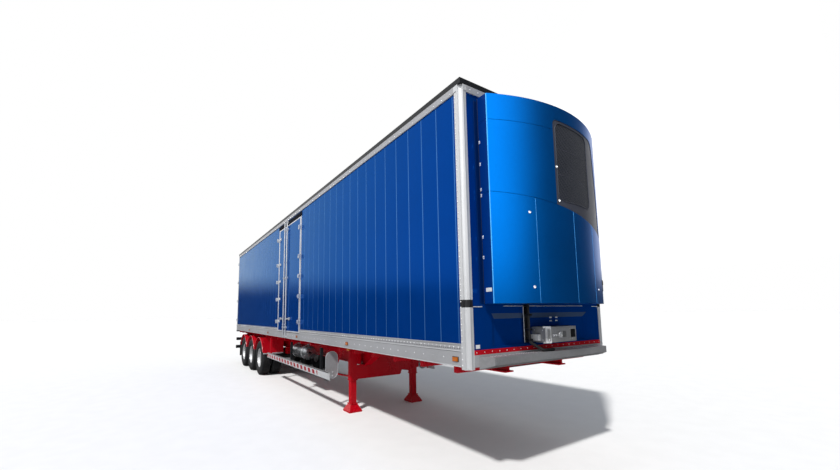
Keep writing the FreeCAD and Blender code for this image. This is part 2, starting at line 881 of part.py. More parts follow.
def services():
    """Connection box and the clipped hose that runs down to the step."""
    depth = d.service_reach
    face = wall_face - d.recess_depth
    low, high = above(d.service_low), above(d.service_high)
    plan = [
        (face, d.service_right), (front_x + depth - 50, d.service_right),
        (front_x + depth, d.service_right + 60), (front_x + depth, d.service_left),
        (face, d.service_left)]
    node("service_box", pad("service_box", "XY", [plan], high - low, (0, 0, low)))
    stand = wall_face + d.hose_radius + 20
    rest = step_top + d.hose_radius + 0.3
    stops = [
        # X, Y, Z along the hose, from the unit to the step
        (stand, d.hose_side, above(d.unit_low)),
        (stand, d.hose_side, low + 10),
        (stand + 70, d.hose_side + 150, rest),
        (stand + 80, d.hose_side + 330, rest)]
    route = [FreeCAD.Vector(*[Dim.of(c).value for c in stop]) for stop in stops]
    node("service_hose", tube("service_hose", rounded(route, 60, HOSE_STEPS),
                              d.hose_radius, HOSE_SIDES))


# ------------------------------------------------------------------ doors

side_door_rear = (d.side_door_back + d.front_leaf_wide + d.rear_leaf_wide
                  + 2 * d.door_gap + d.meeting_gap)
side_leaf_low = floor_top + d.door_gap
side_leaf_high = side_door_top - d.door_gap
side_face = -half_width + d.side_skin_inset
side_pin_y = side_face - d.side_pin_proud
SIDE_HINGES = (419, 1002, 1464, 1922, 2612)
SIDE_GUIDE_SHARES = (0.04, 0.5, 0.96)
REAR_GUIDE_SHARES = (0.05, 0.5, 0.95)
REAR_ROD_SHARES = (0.12, 0.55)
REAR_HINGES = 4


def side_hinge_parts(label, pin_x, way, rises):
    """Eyed straps for a leaf and pintles for its jamb.

    way is +1 where the leaf lies ahead of its pin and -1 where it lies behind.
    """
    straps, brackets = [], []
    eye, strap_y = d.knuckle_radius, d.side_pin_proud - d.strap_thick
    outline = [
        # along the leaf from the pin, inward from the pin
        (-eye, -eye), (eye, -eye), (eye, strap_y), (d.strap_reach, strap_y),
        (d.strap_reach, d.side_pin_proud), (Dim(0), d.side_pin_proud), (Dim(0), eye),
        (-eye, eye)]
    placed = [(pin_x + way * u, side_pin_y + v) for u, v in outline]
    for i, rise in enumerate(rises):
        low = above(rise) - d.knuckle_tall / 2
        name = "%s_%d" % (label, i)
        leaf = pad(name + "_leaf", "XY", [placed], d.knuckle_tall, (0, 0, low))
        bore = prism(name + "_bore", "Z", PIN_SIDES, d.pin_radius + d.pin_play,
                     d.knuckle_tall + 2, (pin_x, side_pin_y, low - 1))
        straps.append(cut(name + "_hinge", leaf, [bore]))
        base = low - d.ear_gap - d.ear_tall
        arm = box(name + "_arm", (pin_x - d.ear_half, pin_x + d.ear_half),
                  (side_pin_y - d.ear_half, -skin_side), (base, base + d.ear_tall))
        brackets.append(fused(name + "_pintle", [arm, pintle(name, i, pin_x, side_pin_y,
                                                             base)]))
    return straps, brackets


def pintle(name, i, x, y, base):
    """Pin that stands in a bracket; the lowest of each row is round."""
    foot = base + d.ear_tall / 2
    length = d.ear_tall / 2 + d.ear_gap + d.knuckle_tall + d.pin_proud
    if i == 0:
        return rod(name + "_pin", "Z", d.pin_radius, length, (x, y, foot))
    return prism(name + "_pin", "Z", PIN_SIDES, d.pin_radius, length, (x, y, foot))


def side_lock(label, x, way, z_low, z_high):
    """A lock rod with its guides, swing handle and catch, proud of a side leaf."""
    mid_y = side_face - d.rod_stand
    bar = prism(label + "_bar", "Z", ROD_SIDES, d.rod_radius, z_high - z_low,
                (x, mid_y, z_low))
    guides = []
    half = d.guide_wide / 2
    for i, share in enumerate(SIDE_GUIDE_SHARES):
        height = side_leaf_low + share * (side_leaf_high - side_leaf_low)
        guides.append(box("%s_guide_%d" % (label, i), (x - half, x + half),
                          (mid_y - d.rod_radius - 3, side_face),
                          (height - half, height + half)))
    height = above(d.side_handle_rise)
    lever = box(label + "_lever", (x, x + way * d.handle_long), (mid_y - 6, mid_y + 6),
                (height - 15, height + 15))
    catch = box(label + "_catch", (x + way * (d.handle_long - 60),
                                   x + way * (d.handle_long - 20)),
                (mid_y - 10, side_face), (height - 35, height + 35))
    return fused(label, [bar, lever, catch] + guides)


def side_doors():
    leaf_y = (side_face, side_face + d.side_door_thick)
    heights = (side_leaf_low, side_leaf_high)
    front_edge = back(d.side_door_back + d.door_gap)
    front_meet = front_edge - d.front_leaf_wide
    rear_meet = front_meet - d.meeting_gap
    rear_edge = rear_meet - d.rear_leaf_wide
    node("side_door_front", box("side_door_front", (front_meet, front_edge), leaf_y,
                                heights))
    node("side_door_rear", box("side_door_rear", (rear_edge, rear_meet), leaf_y, heights))
    set_off = d.door_gap + d.side_pin_back
    low = d.deck_height + d.rod_foot
    high = side_door_top + d.rod_head
    leaves = [
        # word, pin X, way from the pin to the leaf, rod X
        ("front", front_edge + set_off, -1, front_meet + d.rod_inset),
        ("rear", rear_edge - set_off, 1, rear_meet - d.rod_inset)]
    brackets = []
    for word, pin_x, way, rod_x in leaves:
        straps, more = side_hinge_parts("side_" + word, pin_x, way, SIDE_HINGES)
        lock = side_lock("side_%s_lock" % word, rod_x, -way, low, high)
        node("side_door_%s_fittings" % word, straps + [lock])
        brackets += more
    side = d.gutter_side
    node("door_gutter", box(
        "door_gutter", (back(side_door_rear + side), back(d.side_door_back - side)),
        (-skin_side - d.gutter_proud, -skin_side),
        (side_door_top + 5, side_door_top + 5 + d.gutter_tall)))
    return brackets


def rear_frame():
    """Rear portal: two posts, header and sill round the rear opening."""
    opening = lining_inner()
    rim = box("rear_blank", (rear_x, body_rear), (-half_width + d.skin_inset,
              half_width - d.skin_inset), (floor_low, rail_top))
    hole = box("rear_hole", (rear_x - 1, body_rear + 1), (-opening, opening),
               (floor_top, rear_header_low))
    node("rear_frame", cut("rear_frame", rim, [hole]))


def lining_inner():
    return half_width - d.rear_post_wide


def rear_doors():
    opening = lining_inner()
    leaf_half_gap = d.meeting_gap / 2
    leaf_x = (rear_x, rear_x + d.rear_door_thick)
    heights = (floor_top + d.door_gap, rear_header_low - d.door_gap)
    brackets = []
    for side, word in ((1, "left"), (-1, "right")):
        edge_y = side * (opening - d.door_gap)
        meet_y = side * leaf_half_gap
        node("rear_door_" + word, box("rear_door_" + word, leaf_x, (meet_y, edge_y),
                                      heights))
        straps, more = rear_hinge_parts("rear_" + word, side, edge_y)
        brackets += more
        locks = [rear_lock("rear_%s_lock_%d" % (word, i), side,
                           meet_y + share * (edge_y - meet_y), heights)
                 for i, share in enumerate(REAR_ROD_SHARES)]
        node("rear_door_%s_fittings" % word, straps + locks)
    return brackets


def rear_hinge_parts(label, side, edge_y):
    """Eyed straps for a rear leaf and pintles on the frame's post."""
    pin_x = rear_x - d.rear_pin_proud
    pin_y = side * (half_width - d.rear_pin_inset)
    eye, strap_x = d.knuckle_radius, d.rear_pin_proud - d.strap_thick
    reach = side * (pin_y - edge_y) + d.strap_reach
    outline = [
        # inward from the pin along the leaf, forward from the pin
        (-eye, -eye), (eye, -eye), (eye, strap_x), (reach, strap_x),
        (reach, d.rear_pin_proud), (Dim(0), d.rear_pin_proud), (Dim(0), eye), (-eye, eye)]
    placed = [(pin_x + v, pin_y - side * u) for u, v in outline]
    straps, brackets = [], []
    for i in range(REAR_HINGES):
        name = "%s_%d" % (label, i)
        low = above(d.rear_hinge_first + i * d.rear_hinge_pitch) - d.knuckle_tall / 2
        leaf = pad(name + "_leaf", "XY", [placed], d.knuckle_tall, (0, 0, low))
        bore = prism(name + "_bore", "Z", PIN_SIDES, d.pin_radius + d.pin_play,
                     d.knuckle_tall + 2, (pin_x, pin_y, low - 1))
        straps.append(cut(name + "_hinge", leaf, [bore]))
        base = low - d.ear_gap - d.ear_tall
        arm = box(name + "_arm", (pin_x - d.ear_half, rear_x),
                  (pin_y - d.ear_half, pin_y + d.ear_half), (base, base + d.ear_tall))
        brackets.append(fused(name + "_pintle", [arm, pintle(name, i, pin_x, pin_y, base)]))
    return straps, brackets


def rear_lock(label, side, rod_y, heights):
    """A lock rod with its guides, handle and catch on a rear leaf."""
    mid_x = rear_x - d.rear_rod_stand
    bar = prism(label + "_bar", "Z", ROD_SIDES, d.rear_rod_radius,
                rear_header_low - floor_top + 2 * d.rear_rod_over,
                (mid_x, rod_y, floor_top - d.rear_rod_over))
    half = d.guide_wide / 2
    guides = []
    for i, share in enumerate(REAR_GUIDE_SHARES):
        height = heights[0] + share * (heights[1] - heights[0])
        guides.append(box("%s_guide_%d" % (label, i),
                          (mid_x - d.rear_rod_radius - 3, rear_x),
                          (rod_y - half, rod_y + half), (height - half, height + half)))
    height = floor_top + d.rear_handle_rise
    lever = box(label + "_lever", (mid_x - 6, mid_x + 6),
                (rod_y, rod_y + side * d.handle_long), (height - 15, height + 15))
    catch = box(label + "_catch", (mid_x - 10, rear_x),
                (rod_y + side * (d.handle_long - 60), rod_y + side * (d.handle_long - 30)),
                (height - 35, height + 35))
    return fused(label, [bar, lever, catch] + guides)


# ---------------------------------------------------------------- chassis

beam_top = floor_low
beam_low = beam_top - d.beam_depth
neck_low = beam_top - d.neck_depth
member_low = beam_top - d.member_tall
# cross members: bays before the legs, from the legs to the bogie, and halves of its pitch
NECK_BAYS = 5
MIDDLE_BAYS = 7
BOGIE_HALF_BAYS = 5


def beam_outline(drop):
    """Side view of a main beam, stepped up to the gooseneck, less drop below."""
    return [
        (back(d.box_length - d.bumper_deep), beam_top - drop),
        (back(d.box_length - d.bumper_deep), beam_low + drop),
        (back(d.beam_deep_start), beam_low + drop),
        (back(d.neck_end), neck_low + drop),
        (back(d.beam_start), neck_low + drop),
        (back(d.beam_start), beam_top - drop)]


def main_beams():
    """Two I beams: web, and a flange that follows the stepped outline."""
    mid = -d.beam_spacing / 2
    web = pad("beam_web", "XZ", [beam_outline(Dim(0))], d.web_thick,
              (0, mid - d.web_thick / 2, 0))
    solid = pad("beam_solid", "XZ", [beam_outline(Dim(0))], d.beam_flange,
                (0, mid - d.beam_flange / 2, 0))
    core_outline = [
        (back(d.box_length - d.bumper_deep) - 1, beam_top - d.flange_thick),
        (back(d.box_length - d.bumper_deep) - 1, beam_low + d.flange_thick),
        (back(d.beam_deep_start) + 4, beam_low + d.flange_thick),
        (back(d.neck_end) + 4, neck_low + d.flange_thick),
        (back(d.beam_start) + 1, neck_low + d.flange_thick),
        (back(d.beam_start) + 1, beam_top - d.flange_thick)]
    core = pad("beam_core", "XZ", [core_outline], d.beam_flange + 2,
               (0, mid - d.beam_flange / 2 - 1, 0))
    flanges = cut("beam_flanges", solid, [core])
    node("main_beams", both_sides("main_beam", fused("main_beam_right", [web, flanges])))


def member_stations():
    """X of every cross member, from the front to the rear."""
    neck = [d.member_first + i * (d.member_neck_last - d.member_first) / NECK_BAYS
            for i in range(NECK_BAYS + 1)]
    stay, panel = d.leg_back + d.member_stay, panel_back
    middle = [stay + i * (panel - stay) / MIDDLE_BAYS for i in range(MIDDLE_BAYS)]
    bogie = [panel] + [first_axle_back + i * d.axle_pitch / 2
                       for i in range(BOGIE_HALF_BAYS)]
    rear = [flap_back, d.box_length - d.member_first]
    return [back(distance) for distance in neck + middle + bogie + rear]


def cross_members():
    """Cross members: let in between the beams' top flanges, and out to the rails."""
    half = d.member_wide / 2
    inner = (d.beam_spacing - d.beam_flange) / 2
    outer = (d.beam_spacing + d.beam_flange) / 2
    spans = [(-lining_side, -outer), (-inner, inner), (outer, lining_side)]
    node("cross_members", [
        box("member_%d_%d" % (i, k), (x - half, x + half), span, (member_low, beam_top))
        for i, x in enumerate(member_stations()) for k, span in enumerate(spans)])


def coupler():
    """Bored rubbing plate under the gooseneck, and the kingpin in its bolster."""
    plate_low = neck_low - d.coupler_thick
    plate = box("coupler_sheet", (back(d.coupler_end), back(d.coupler_start)),
                (-d.coupler_half, d.coupler_half), (plate_low, neck_low))
    x = back(d.kingpin_back)
    hole = rod("coupler_hole", "Z", d.kingpin_shoulder + d.kingpin_clear,
               d.coupler_thick + 2, (x, 0, plate_low - 1))
    node("coupler_plate", cut("coupler_plate", plate, [hole]))
    shoulder = plate_low - d.kingpin_seat
    neck = shoulder - d.kingpin_neck
    foot = neck - d.kingpin_foot
    profile = [
        (0, neck_low + 1), (0, foot), (d.kingpin_collar, foot),
        (d.kingpin_collar, neck), (d.kingpin_radius, neck),
        (d.kingpin_radius, shoulder), (d.kingpin_shoulder, shoulder),
        (d.kingpin_shoulder, neck_low + 1)]
    pin = turned("kingpin_turned", "XZ", profile, "V_Axis", (x, 0, 0))
    half = (d.beam_spacing - d.beam_flange) / 2
    bolster = box("kingpin_bolster", (x - d.bolster_half, x + d.bolster_half),
                  (-half, half), (neck_low, beam_top))
    node("kingpin", fused("kingpin", [pin, bolster]))


# ----------------------------------------------------------- landing legs

def landing_legs():
    x = back(d.leg_back)
    half = d.leg_tube / 2
    inner = d.leg_inner / 2
    y = -d.leg_side
    leg_top = floor_low - d.leg_drop
    tube_body = box("leg_outer_right", (x - half, x + half), (y - half, y + half),
                    (d.leg_tube_low, leg_top))
    beam_side = -(d.beam_spacing / 2 + d.beam_flange / 2)
    saddle = box("leg_saddle_right", (x - d.saddle_half, x + d.saddle_half),
                 (y + half, beam_side), (beam_low + 20, leg_top - 60))
    web_side = -(d.beam_spacing / 2 + d.web_thick / 2)
    tongue = box("leg_tongue_right", (x - d.tongue_half, x + d.tongue_half),
                 (beam_side, web_side), (beam_low + 60, leg_top - 100))
    node("landing_leg_tubes", both_sides("leg_tube", fused("leg_tube_right",
                                                           [tube_body, saddle, tongue])))
    plunger = box("leg_plunger_right", (x - inner, x + inner), (y - inner, y + inner),
                  (d.shoe_tall, d.leg_tube_low))
    shoe = doc.addObject("Part::Wedge", "leg_shoe_right")
    spans = {
        "Xmin": -d.shoe_long / 2, "Xmax": d.shoe_long / 2,
        "Zmin": -d.shoe_wide / 2, "Zmax": d.shoe_wide / 2,
        "Ymin": 0, "Ymax": d.shoe_tall - d.shoe_plate,
        "X2min": -inner - 8, "X2max": inner + 8, "Z2min": -inner - 8, "Z2max": inner + 8,
    }
    for prop, size in spans.items():
        setattr(shoe, prop, bind(shoe, prop, size))
    upright = FreeCAD.Rotation(FreeCAD.Vector(1, 0, 0), 90)
    place(shoe, (x, y, d.shoe_plate), upright)
    sole = box("leg_sole_right", (x - d.shoe_long / 2, x + d.shoe_long / 2),
               (y - d.shoe_wide / 2, y + d.shoe_wide / 2), (0, d.shoe_plate))
    node("landing_feet", both_sides("leg_foot", fused("leg_foot_right",
                                                      [plunger, shoe, sole])))
    panel_half = d.leg_side - half
    notch_y = panel_half - d.leg_notch_wide
    inner_half = (d.beam_spacing - d.beam_flange) / 2
    low = d.leg_panel_low
    outline = [
        (-panel_half, low), (notch_y, low), (notch_y + d.leg_notch_slope,
                                             low + d.leg_notch_tall),
        (panel_half, low + d.leg_notch_tall), (panel_half, beam_low),
        (inner_half, beam_low), (inner_half, floor_low), (-inner_half, floor_low),
        (-inner_half, beam_low), (-panel_half, beam_low)]
    panel = pad("leg_panel", "YZ", [outline], d.leg_panel_thick,
                (x + half - d.leg_panel_thick - 10, 0, 0))
    node("leg_bracing", [panel] + leg_stays(x - half, y))
    node("leg_drive", leg_drive(x))


def leg_drive(x):
    """Cross shaft between the legs, and the gearbox with its folded crank."""
    half = d.leg_tube / 2
    inside = d.leg_side - half
    shaft = prism("leg_shaft_bar", "Y", ROD_SIDES, d.shaft_radius, 2 * inside,
                  (x - 20, -inside, d.shaft_height))
    outer = d.leg_side + half
    deep = d.gearbox_deep
    gearbox = box("leg_gearbox", (x - d.gearbox_half, x + d.gearbox_half),
                  (outer, outer + deep), (d.shaft_height - 90, d.shaft_height + 60))
    stops = [
        # Y and Z along the crank, from inside the gearbox to its hanging grip
        (outer + deep / 2, d.shaft_height + 10), (d.crank_side, d.shaft_height - 10),
        (d.crank_side, d.crank_low)]
    route = [FreeCAD.Vector(Dim.of(x).value, y.value, z.value) for y, z in stops]
    crank = tube("leg_crank_bar", rounded(route, 25, 2), d.crank_radius, STAY_SIDES)
    return [shaft, fused("leg_crank", [gearbox, crank])]


def leg_stays(leg_face, y):
    """Bent tube behind each leg, from its foot end up to a cross member."""
    member_x = back(d.leg_back + d.member_stay)
    bend_x = leg_face - d.stay_reach
    stops = [
        # X and Z along the stay, from inside the leg to inside the member
        (leg_face + 5, d.stay_low), (bend_x + 60, d.stay_low - 40),
        (bend_x, d.stay_low + 80), (member_x + 20, member_low + 30)]
    route = [FreeCAD.Vector(a.value, y.value, b.value) for a, b in stops]
    bar = tube("leg_stay_tube", rounded(route, 60, 2), d.stay_radius, STAY_SIDES)
    over = box("leg_stay_above", (member_x - 200, member_x + 200), (y - 50, y + 50),
               (member_low, member_low + 200))
    ahead = box("leg_stay_ahead", (leg_face, leg_face + 60), (y - 50, y + 50),
                (d.stay_low - 80, d.stay_low + 60))
    return both_sides("leg_stay", cut("leg_stay", bar, [over, ahead]))


# ------------------------------------------------------------ running gear

AXLES = [("first", 0), ("second", 1), ("third", 2)]
SPRING_SHARES = (-1, -0.5, 0, 0.5, 1)
GUARD_FOOT_ANGLE = 20
GUARD_CHORDS = 10


def axle_x(index):
    return back(first_axle_back + index * d.axle_pitch)


def tyre(label, at):
    """A tyre with flat-sided tread and walls, bored for its rim."""
    stations = [
        # offset across the tyre, radius
        (-d.tyre_bead_wide / 2, d.rim_radius), (-d.tyre_wide / 2, d.tyre_wall_radius),
        (-d.tyre_tread_wide / 2, d.tyre_radius), (d.tyre_tread_wide / 2, d.tyre_radius),
        (d.tyre_wide / 2, d.tyre_wall_radius), (d.tyre_bead_wide / 2, d.rim_radius)]
    rings = [ring(WHEEL_SIDES, "Y", offset, radius) for offset, radius in stations]
    return place(skin(label, rings, joined=True), at)


def wheel(label, side, at):
    """A twin wheel: rims, disc and hub in one, closed inboard by its brake plate."""
    barrel = d.rim_radius - d.rim_play
    inside = barrel - d.rim_wall
    out = d.twin_pitch / 2 + d.rim_wide / 2
    stations = [
        # distance outboard of the middle of the pair, radius
        (d.disc_thick / 2, inside), (out - d.rim_dish, inside), (out, barrel),
        (-out, barrel), (-out, inside), (-out + d.brake_recess, inside)]
    rings = [ring(WHEEL_SIDES, "Y", side * offset, radius) for offset, radius in stations]
    centre_x, centre_y, centre_z = at
    disc = place(skin(label + "_rim", rings), at)

    def middle(name, sides, radius, start, stop):
        low, high = ordered((side * start, side * stop))
        return prism(label + name, "Y", sides, radius, high - low,
                     (centre_x, centre_y + low, centre_z))

    hub = middle("_hub", HUB_SIDES, d.hub_radius, Dim(0), d.hub_out)
    bore = middle("_bore", HUB_SIDES, d.spindle_radius + d.spindle_play, -out,
                  d.spindle_out + 5)
    return cut(label, fused(label + "_whole", [disc, hub]), [bore])


def wheels():
    for name, index in AXLES:
        for side, word in ((1, "left"), (-1, "right")):
            centre = side * d.wheel_side
            pair = [tyre("tyre_%s_%s_%d" % (name, word, k),
                         (axle_x(index), centre + (k - 0.5) * d.twin_pitch, d.tyre_radius))
                    for k in (0, 1)]
            node("tyres_%s_%s" % (name, word), pair)
            node("wheel_%s_%s" % (name, word),
                 wheel("wheel_%s_%s" % (name, word), side,
                       (axle_x(index), centre, d.tyre_radius)))


def axles():
    """Round axle tubes with their spindles and spring seats."""
    pieces = []
    z = d.tyre_radius
    for name, index in AXLES:
        x = axle_x(index)
        beam = rod("axle_tube_" + name, "Y", d.axle_radius, 2 * d.axle_half,
                   (x, -d.axle_half, z))
        length = 2 * (d.wheel_side + d.spindle_out)
        # its corners run on the flats of the hub's bore
        spindle = prism("axle_spindle_" + name, "Y", HUB_SIDES, d.spindle_radius, length,
                        (x, -length / 2, z), rolled=180 / HUB_SIDES)
        seats = []
        for side, word in ((1, "left"), (-1, "right")):
            y = side * d.spring_side
            seats.append(box("axle_seat_%s_%s" % (name, word),
                             (x - d.seat_half, x + d.seat_half),
                             (y - d.spring_wide / 2, y + d.spring_wide / 2),
                             (z + d.axle_radius / 2, spring_seat)))
        pieces.append(fused("axle_" + name, [beam, spindle] + seats))
    node("axles", pieces)


spring_seat = d.tyre_radius + d.axle_radius + 12


def suspension():
    """Leaf springs over the axles, in hangers under the main beams."""
    springs, hangers = [], []
    thin = d.spring_thick
    for name, index in AXLES:
        x = axle_x(index)
        under = [(x + share * d.spring_half, spring_seat + share * share * d.spring_rise)
                 for share in SPRING_SHARES]
        outline = under + [(u, v + thin) for u, v in reversed(under)]
        springs.append(pad("spring_" + name, "XZ", [outline], d.spring_wide,
                           (0, -d.spring_side - d.spring_wide / 2, 0)))
    node("leaf_springs", springs + [mirrored(s.Label + "_mirrored", s) for s in springs])
    for i in range(len(AXLES) + 1):
        x = back(first_axle_back + (i - 0.5) * d.axle_pitch)
        y = -d.spring_side
        half = d.hanger_wide / 2
        low = spring_seat + d.spring_rise - 20
        outline = [
            (x - d.hanger_long, low), (x + d.hanger_long, low),
            (x + d.hanger_long, low + thin + 40), (x + 60, beam_low), (x - 60, beam_low),
            (x - d.hanger_long, low + thin + 40)]
        block = pad("hanger_%d" % i, "XZ", [outline], d.hanger_wide, (0, y - half, 0))
        slot = box("hanger_slot_%d" % i, (x - d.hanger_long - 1, x + d.hanger_long + 1),
                   (y - d.spring_wide / 2, y + d.spring_wide / 2),
                   (low - 1, low + thin + 24))
        hangers.append(cut("hanger_body_%d" % i, block, [slot]))
    node("spring_hangers", hangers + [mirrored(h.Label + "_mirrored", h) for h in hangers])


def arch(x, z, radius):
    """Corners along a mudguard's arch, from its front foot over to its rear foot."""
    sweep = math.pi - 2 * math.radians(GUARD_FOOT_ANGLE)
    angles = [math.radians(GUARD_FOOT_ANGLE) + sweep * i / GUARD_CHORDS
              for i in range(GUARD_CHORDS + 1)]
    return [(x + radius * math.cos(a), z + radius * math.sin(a)) for a in angles]


# ---------------------------------------------------------- guards and rest

def mudguards():
    """A half-round guard over each pair of wheels, and the panel ahead of the first."""
    outer_y = -d.guard_out
    z = d.tyre_radius
    pieces = []
    for name, index in AXLES:
        x = axle_x(index)
        outer = arch(x, z, d.guard_radius)
        sheet_line = outer + arch(x, z, d.guard_radius - d.guard_thick)[::-1]
        shell = pad("mudguard_shell_" + name, "XZ", [sheet_line], d.guard_wide,
                    (0, outer_y, 0))
        bracket = box("mudguard_bracket_" + name, (x - 20, x + 20),
                      (outer_y + 120, outer_y + d.guard_wide - 60),
                      (z + d.guard_radius - 3, member_low))
        pieces.append(fused("mudguard_" + name, [shell, bracket]))
    x = back(panel_back)
    pieces.append(box("mudguard_panel", (x - 4, x + 4),
                      (outer_y, outer_y + d.guard_wide), (d.guard_panel_low, member_low)))
    return pieces


GUARD_STAY_MEMBERS = (6, 9, 12)
TANK_ARM_SHARES = (0.15, 0.85)
PLATE_CHORDS = 8
LAMPS = 5


def side_guards():
    """Side guard rails, their stays, and the upright end plates."""
    out = -d.rail_guard_out
    inner = out + d.rail_guard_thick
    bar = box("guard_bar", (back(rail_guard_rear), back(d.rail_guard_front)),
              (out, inner), (d.rail_guard_low, d.rail_guard_low + d.rail_guard_tall))
    node("side_guards", both_sides("side_guard", bar))
    stations = member_stations()
    half = d.guard_stay_wide / 2
    stays = [box("guard_stay_%d" % i, (stations[i] - half, stations[i] + half),
                 (inner, inner + d.guard_stay_wide), (d.rail_guard_low + 20, member_low))
             for i in GUARD_STAY_MEMBERS]
    node("guard_stays", stays + [mirrored(s.Label + "_mirrored", s) for s in stays])
    radius = d.plate_wide / 2
    middle_y = inner + radius
    low, high = d.plate_low + radius, d.plate_low + d.plate_tall - radius
    turns = [math.pi * i / PLATE_CHORDS for i in range(PLATE_CHORDS + 1)]
    stadium = [(middle_y + radius * math.cos(t), high + radius * math.sin(t))
               for t in turns]
    stadium += [(middle_y - radius * math.cos(t), low - radius * math.sin(t))
                for t in turns]
    plate = pad("guard_plate_right", "YZ", [stadium], d.plate_thick,
                (back(d.plate_back), 0, 0))
    node("guard_plates", both_sides("guard_plate", plate))


def air_tank():
    """Air tank with dished ends, hung from arms on the right main beam."""
    x = back(d.tank_back)
    radius = d.tank_radius
    stations = [
        # distance behind the tank's front end, radius
        (Dim(0), radius - 60), (d.tank_crown, radius), (d.tank_long - d.tank_crown, radius),
        (d.tank_long, radius - 60)]
    rings = [ring(TANK_SIDES, "X", -offset, size) for offset, size in stations]
    shell = place(skin("air_tank_shell", rings), (x, -d.tank_side, d.tank_height))
    web_side = -(d.beam_spacing + d.web_thick) / 2
    top = d.tank_height + radius
    arms = []
    for i, share in enumerate(TANK_ARM_SHARES):
        at = x - share * d.tank_long
        arms.append(box("tank_arm_%d" % i, (at - 25, at + 25),
                        (-d.tank_side - 12, web_side), (top - 25, top + 20)))
    node("air_tank", fused("air_tank", [shell] + arms))


def rear_bars():
    deep = (rear_x, rear_x + d.bumper_deep)
    bar = box("bumper_bar", deep, (-half_width, half_width),
              (d.bumper_low, d.bumper_low + d.bumper_tall))
    stays = []
    for side in (1, -1):
        y = side * d.beam_spacing / 2
        stays.append(box("bumper_stay_%d" % side,
                         (rear_x + d.bumper_deep, rear_x + d.bumper_deep + 60),
                         (y - 40, y + 40), (d.bumper_low, beam_low)))
    bumper = fused("rear_bumper", [bar] + stays)
    lamp_bar = box("lamp_bar", deep, (-half_width + 10, half_width - 10),
                   (d.lamp_bar_low, d.lamp_bar_low + d.lamp_bar_tall))
    buffers = box("rear_buffer", (rear_x - 30, rear_x + 80),
                  (-half_width + 10, -half_width + 130),
                  (d.deck_height - d.buffer_tall, d.deck_height))
    node("rear_bars", [bumper, lamp_bar] + both_sides("rear_buffer", buffers))
    x = back(flap_back)
    inner_y = -d.guard_out + d.guard_wide
    beam_side = -(d.beam_spacing / 2 + d.beam_flange / 2)
    hanger = box("flap_bar", (x - 20, x + 20), (-d.guard_out, beam_side),
                 (beam_low, beam_low + 40))
    flap = box("mud_flap_right", (x - d.flap_thick / 2, x + d.flap_thick / 2),
               (-d.guard_out, inner_y), (d.flap_low, beam_low))
    node("mud_flaps", both_sides("mud_flap", flap))
    return hanger


def lamps():
    pieces = []
    low = above(d.lamp_rise)
    for i in range(LAMPS):
        x = back(d.lamp_first + i * d.lamp_pitch)
        face = -half_width + d.rail_recess
        pieces.append(box("marker_%d" % i, (x - d.lamp_long / 2, x + d.lamp_long / 2),
                          (face - d.lamp_proud, face), (low, low + d.lamp_tall)))
    node("marker_lamps", pieces + [mirrored(p.Label + "_mirrored", p) for p in pieces])


# ------------------------------------------------------------------ build

def build():
    insulated_box()
    front_wall()
    rails()
    posts()
    front_step()
    refrigeration_unit()
    services()
    rear_frame()
    brackets = side_doors() + rear_doors()
    node("hinge_brackets", brackets)
    main_beams()
    cross_members()
    coupler()
    landing_legs()
    wheels()
    axles()
    suspension()
    guards = mudguards() + [rear_bars()]
    node("mudguards", guards + [mirrored(p.Label + "_mirrored", p) for p in guards])
    side_guards()
    air_tank()
    lamps()


def check_and_export():
    doc.recompute()
    for thing in doc.Objects:
        if "Invalid" in thing.State or "Error" in thing.State:
            raise RuntimeError("object failed: " + thing.Label)
    for name, thing in nodes:
        if thing.Shape.isNull() or not thing.Shape.isValid():
            raise RuntimeError("bad shape: " + name)
    os.makedirs("parts", exist_ok=True)
    for name, thing in nodes:
        thing.Shape.exportStep("parts/%s.step" % name)
    print(len(nodes), "nodes written")


build()
check_and_export()
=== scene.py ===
"""How the semi trailer looks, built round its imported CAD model."""
import math

import bmesh
import bpy
from mathutils import Matrix, Vector
from mathutils.bvhtree import BVHTree

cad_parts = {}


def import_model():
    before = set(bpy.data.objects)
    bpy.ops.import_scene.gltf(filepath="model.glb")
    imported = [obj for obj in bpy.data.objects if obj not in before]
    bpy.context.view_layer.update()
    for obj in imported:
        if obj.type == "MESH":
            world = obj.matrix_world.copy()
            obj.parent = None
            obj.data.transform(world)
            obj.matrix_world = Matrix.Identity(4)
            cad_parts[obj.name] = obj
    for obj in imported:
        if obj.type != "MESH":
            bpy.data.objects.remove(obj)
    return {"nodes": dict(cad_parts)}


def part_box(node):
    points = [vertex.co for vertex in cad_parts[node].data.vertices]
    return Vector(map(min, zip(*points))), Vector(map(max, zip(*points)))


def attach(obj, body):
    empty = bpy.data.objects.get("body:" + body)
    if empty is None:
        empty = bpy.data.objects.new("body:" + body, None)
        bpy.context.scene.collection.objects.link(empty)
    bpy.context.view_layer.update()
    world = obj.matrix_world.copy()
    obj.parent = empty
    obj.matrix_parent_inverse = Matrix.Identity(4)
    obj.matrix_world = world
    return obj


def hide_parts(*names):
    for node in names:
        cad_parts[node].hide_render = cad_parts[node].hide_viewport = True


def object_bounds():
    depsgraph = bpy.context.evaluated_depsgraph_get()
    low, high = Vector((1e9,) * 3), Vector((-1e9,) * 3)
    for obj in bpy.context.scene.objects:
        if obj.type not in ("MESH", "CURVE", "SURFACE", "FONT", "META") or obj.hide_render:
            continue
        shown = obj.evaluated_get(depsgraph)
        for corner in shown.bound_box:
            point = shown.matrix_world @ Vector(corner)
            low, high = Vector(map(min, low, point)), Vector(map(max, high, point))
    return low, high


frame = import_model()
cad_low, cad_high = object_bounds()
NODES = frame["nodes"]
TRAILER = "trailer"
AXLES = ("first", "second", "third")
SIDES = (-1, 1)
SIDE_WORDS = ((1, "left"), (-1, "right"))
TAU = 2 * math.pi
X, Y, Z = Vector((1, 0, 0)), Vector((0, 1, 0)), Vector((0, 0, 1))


# Materials

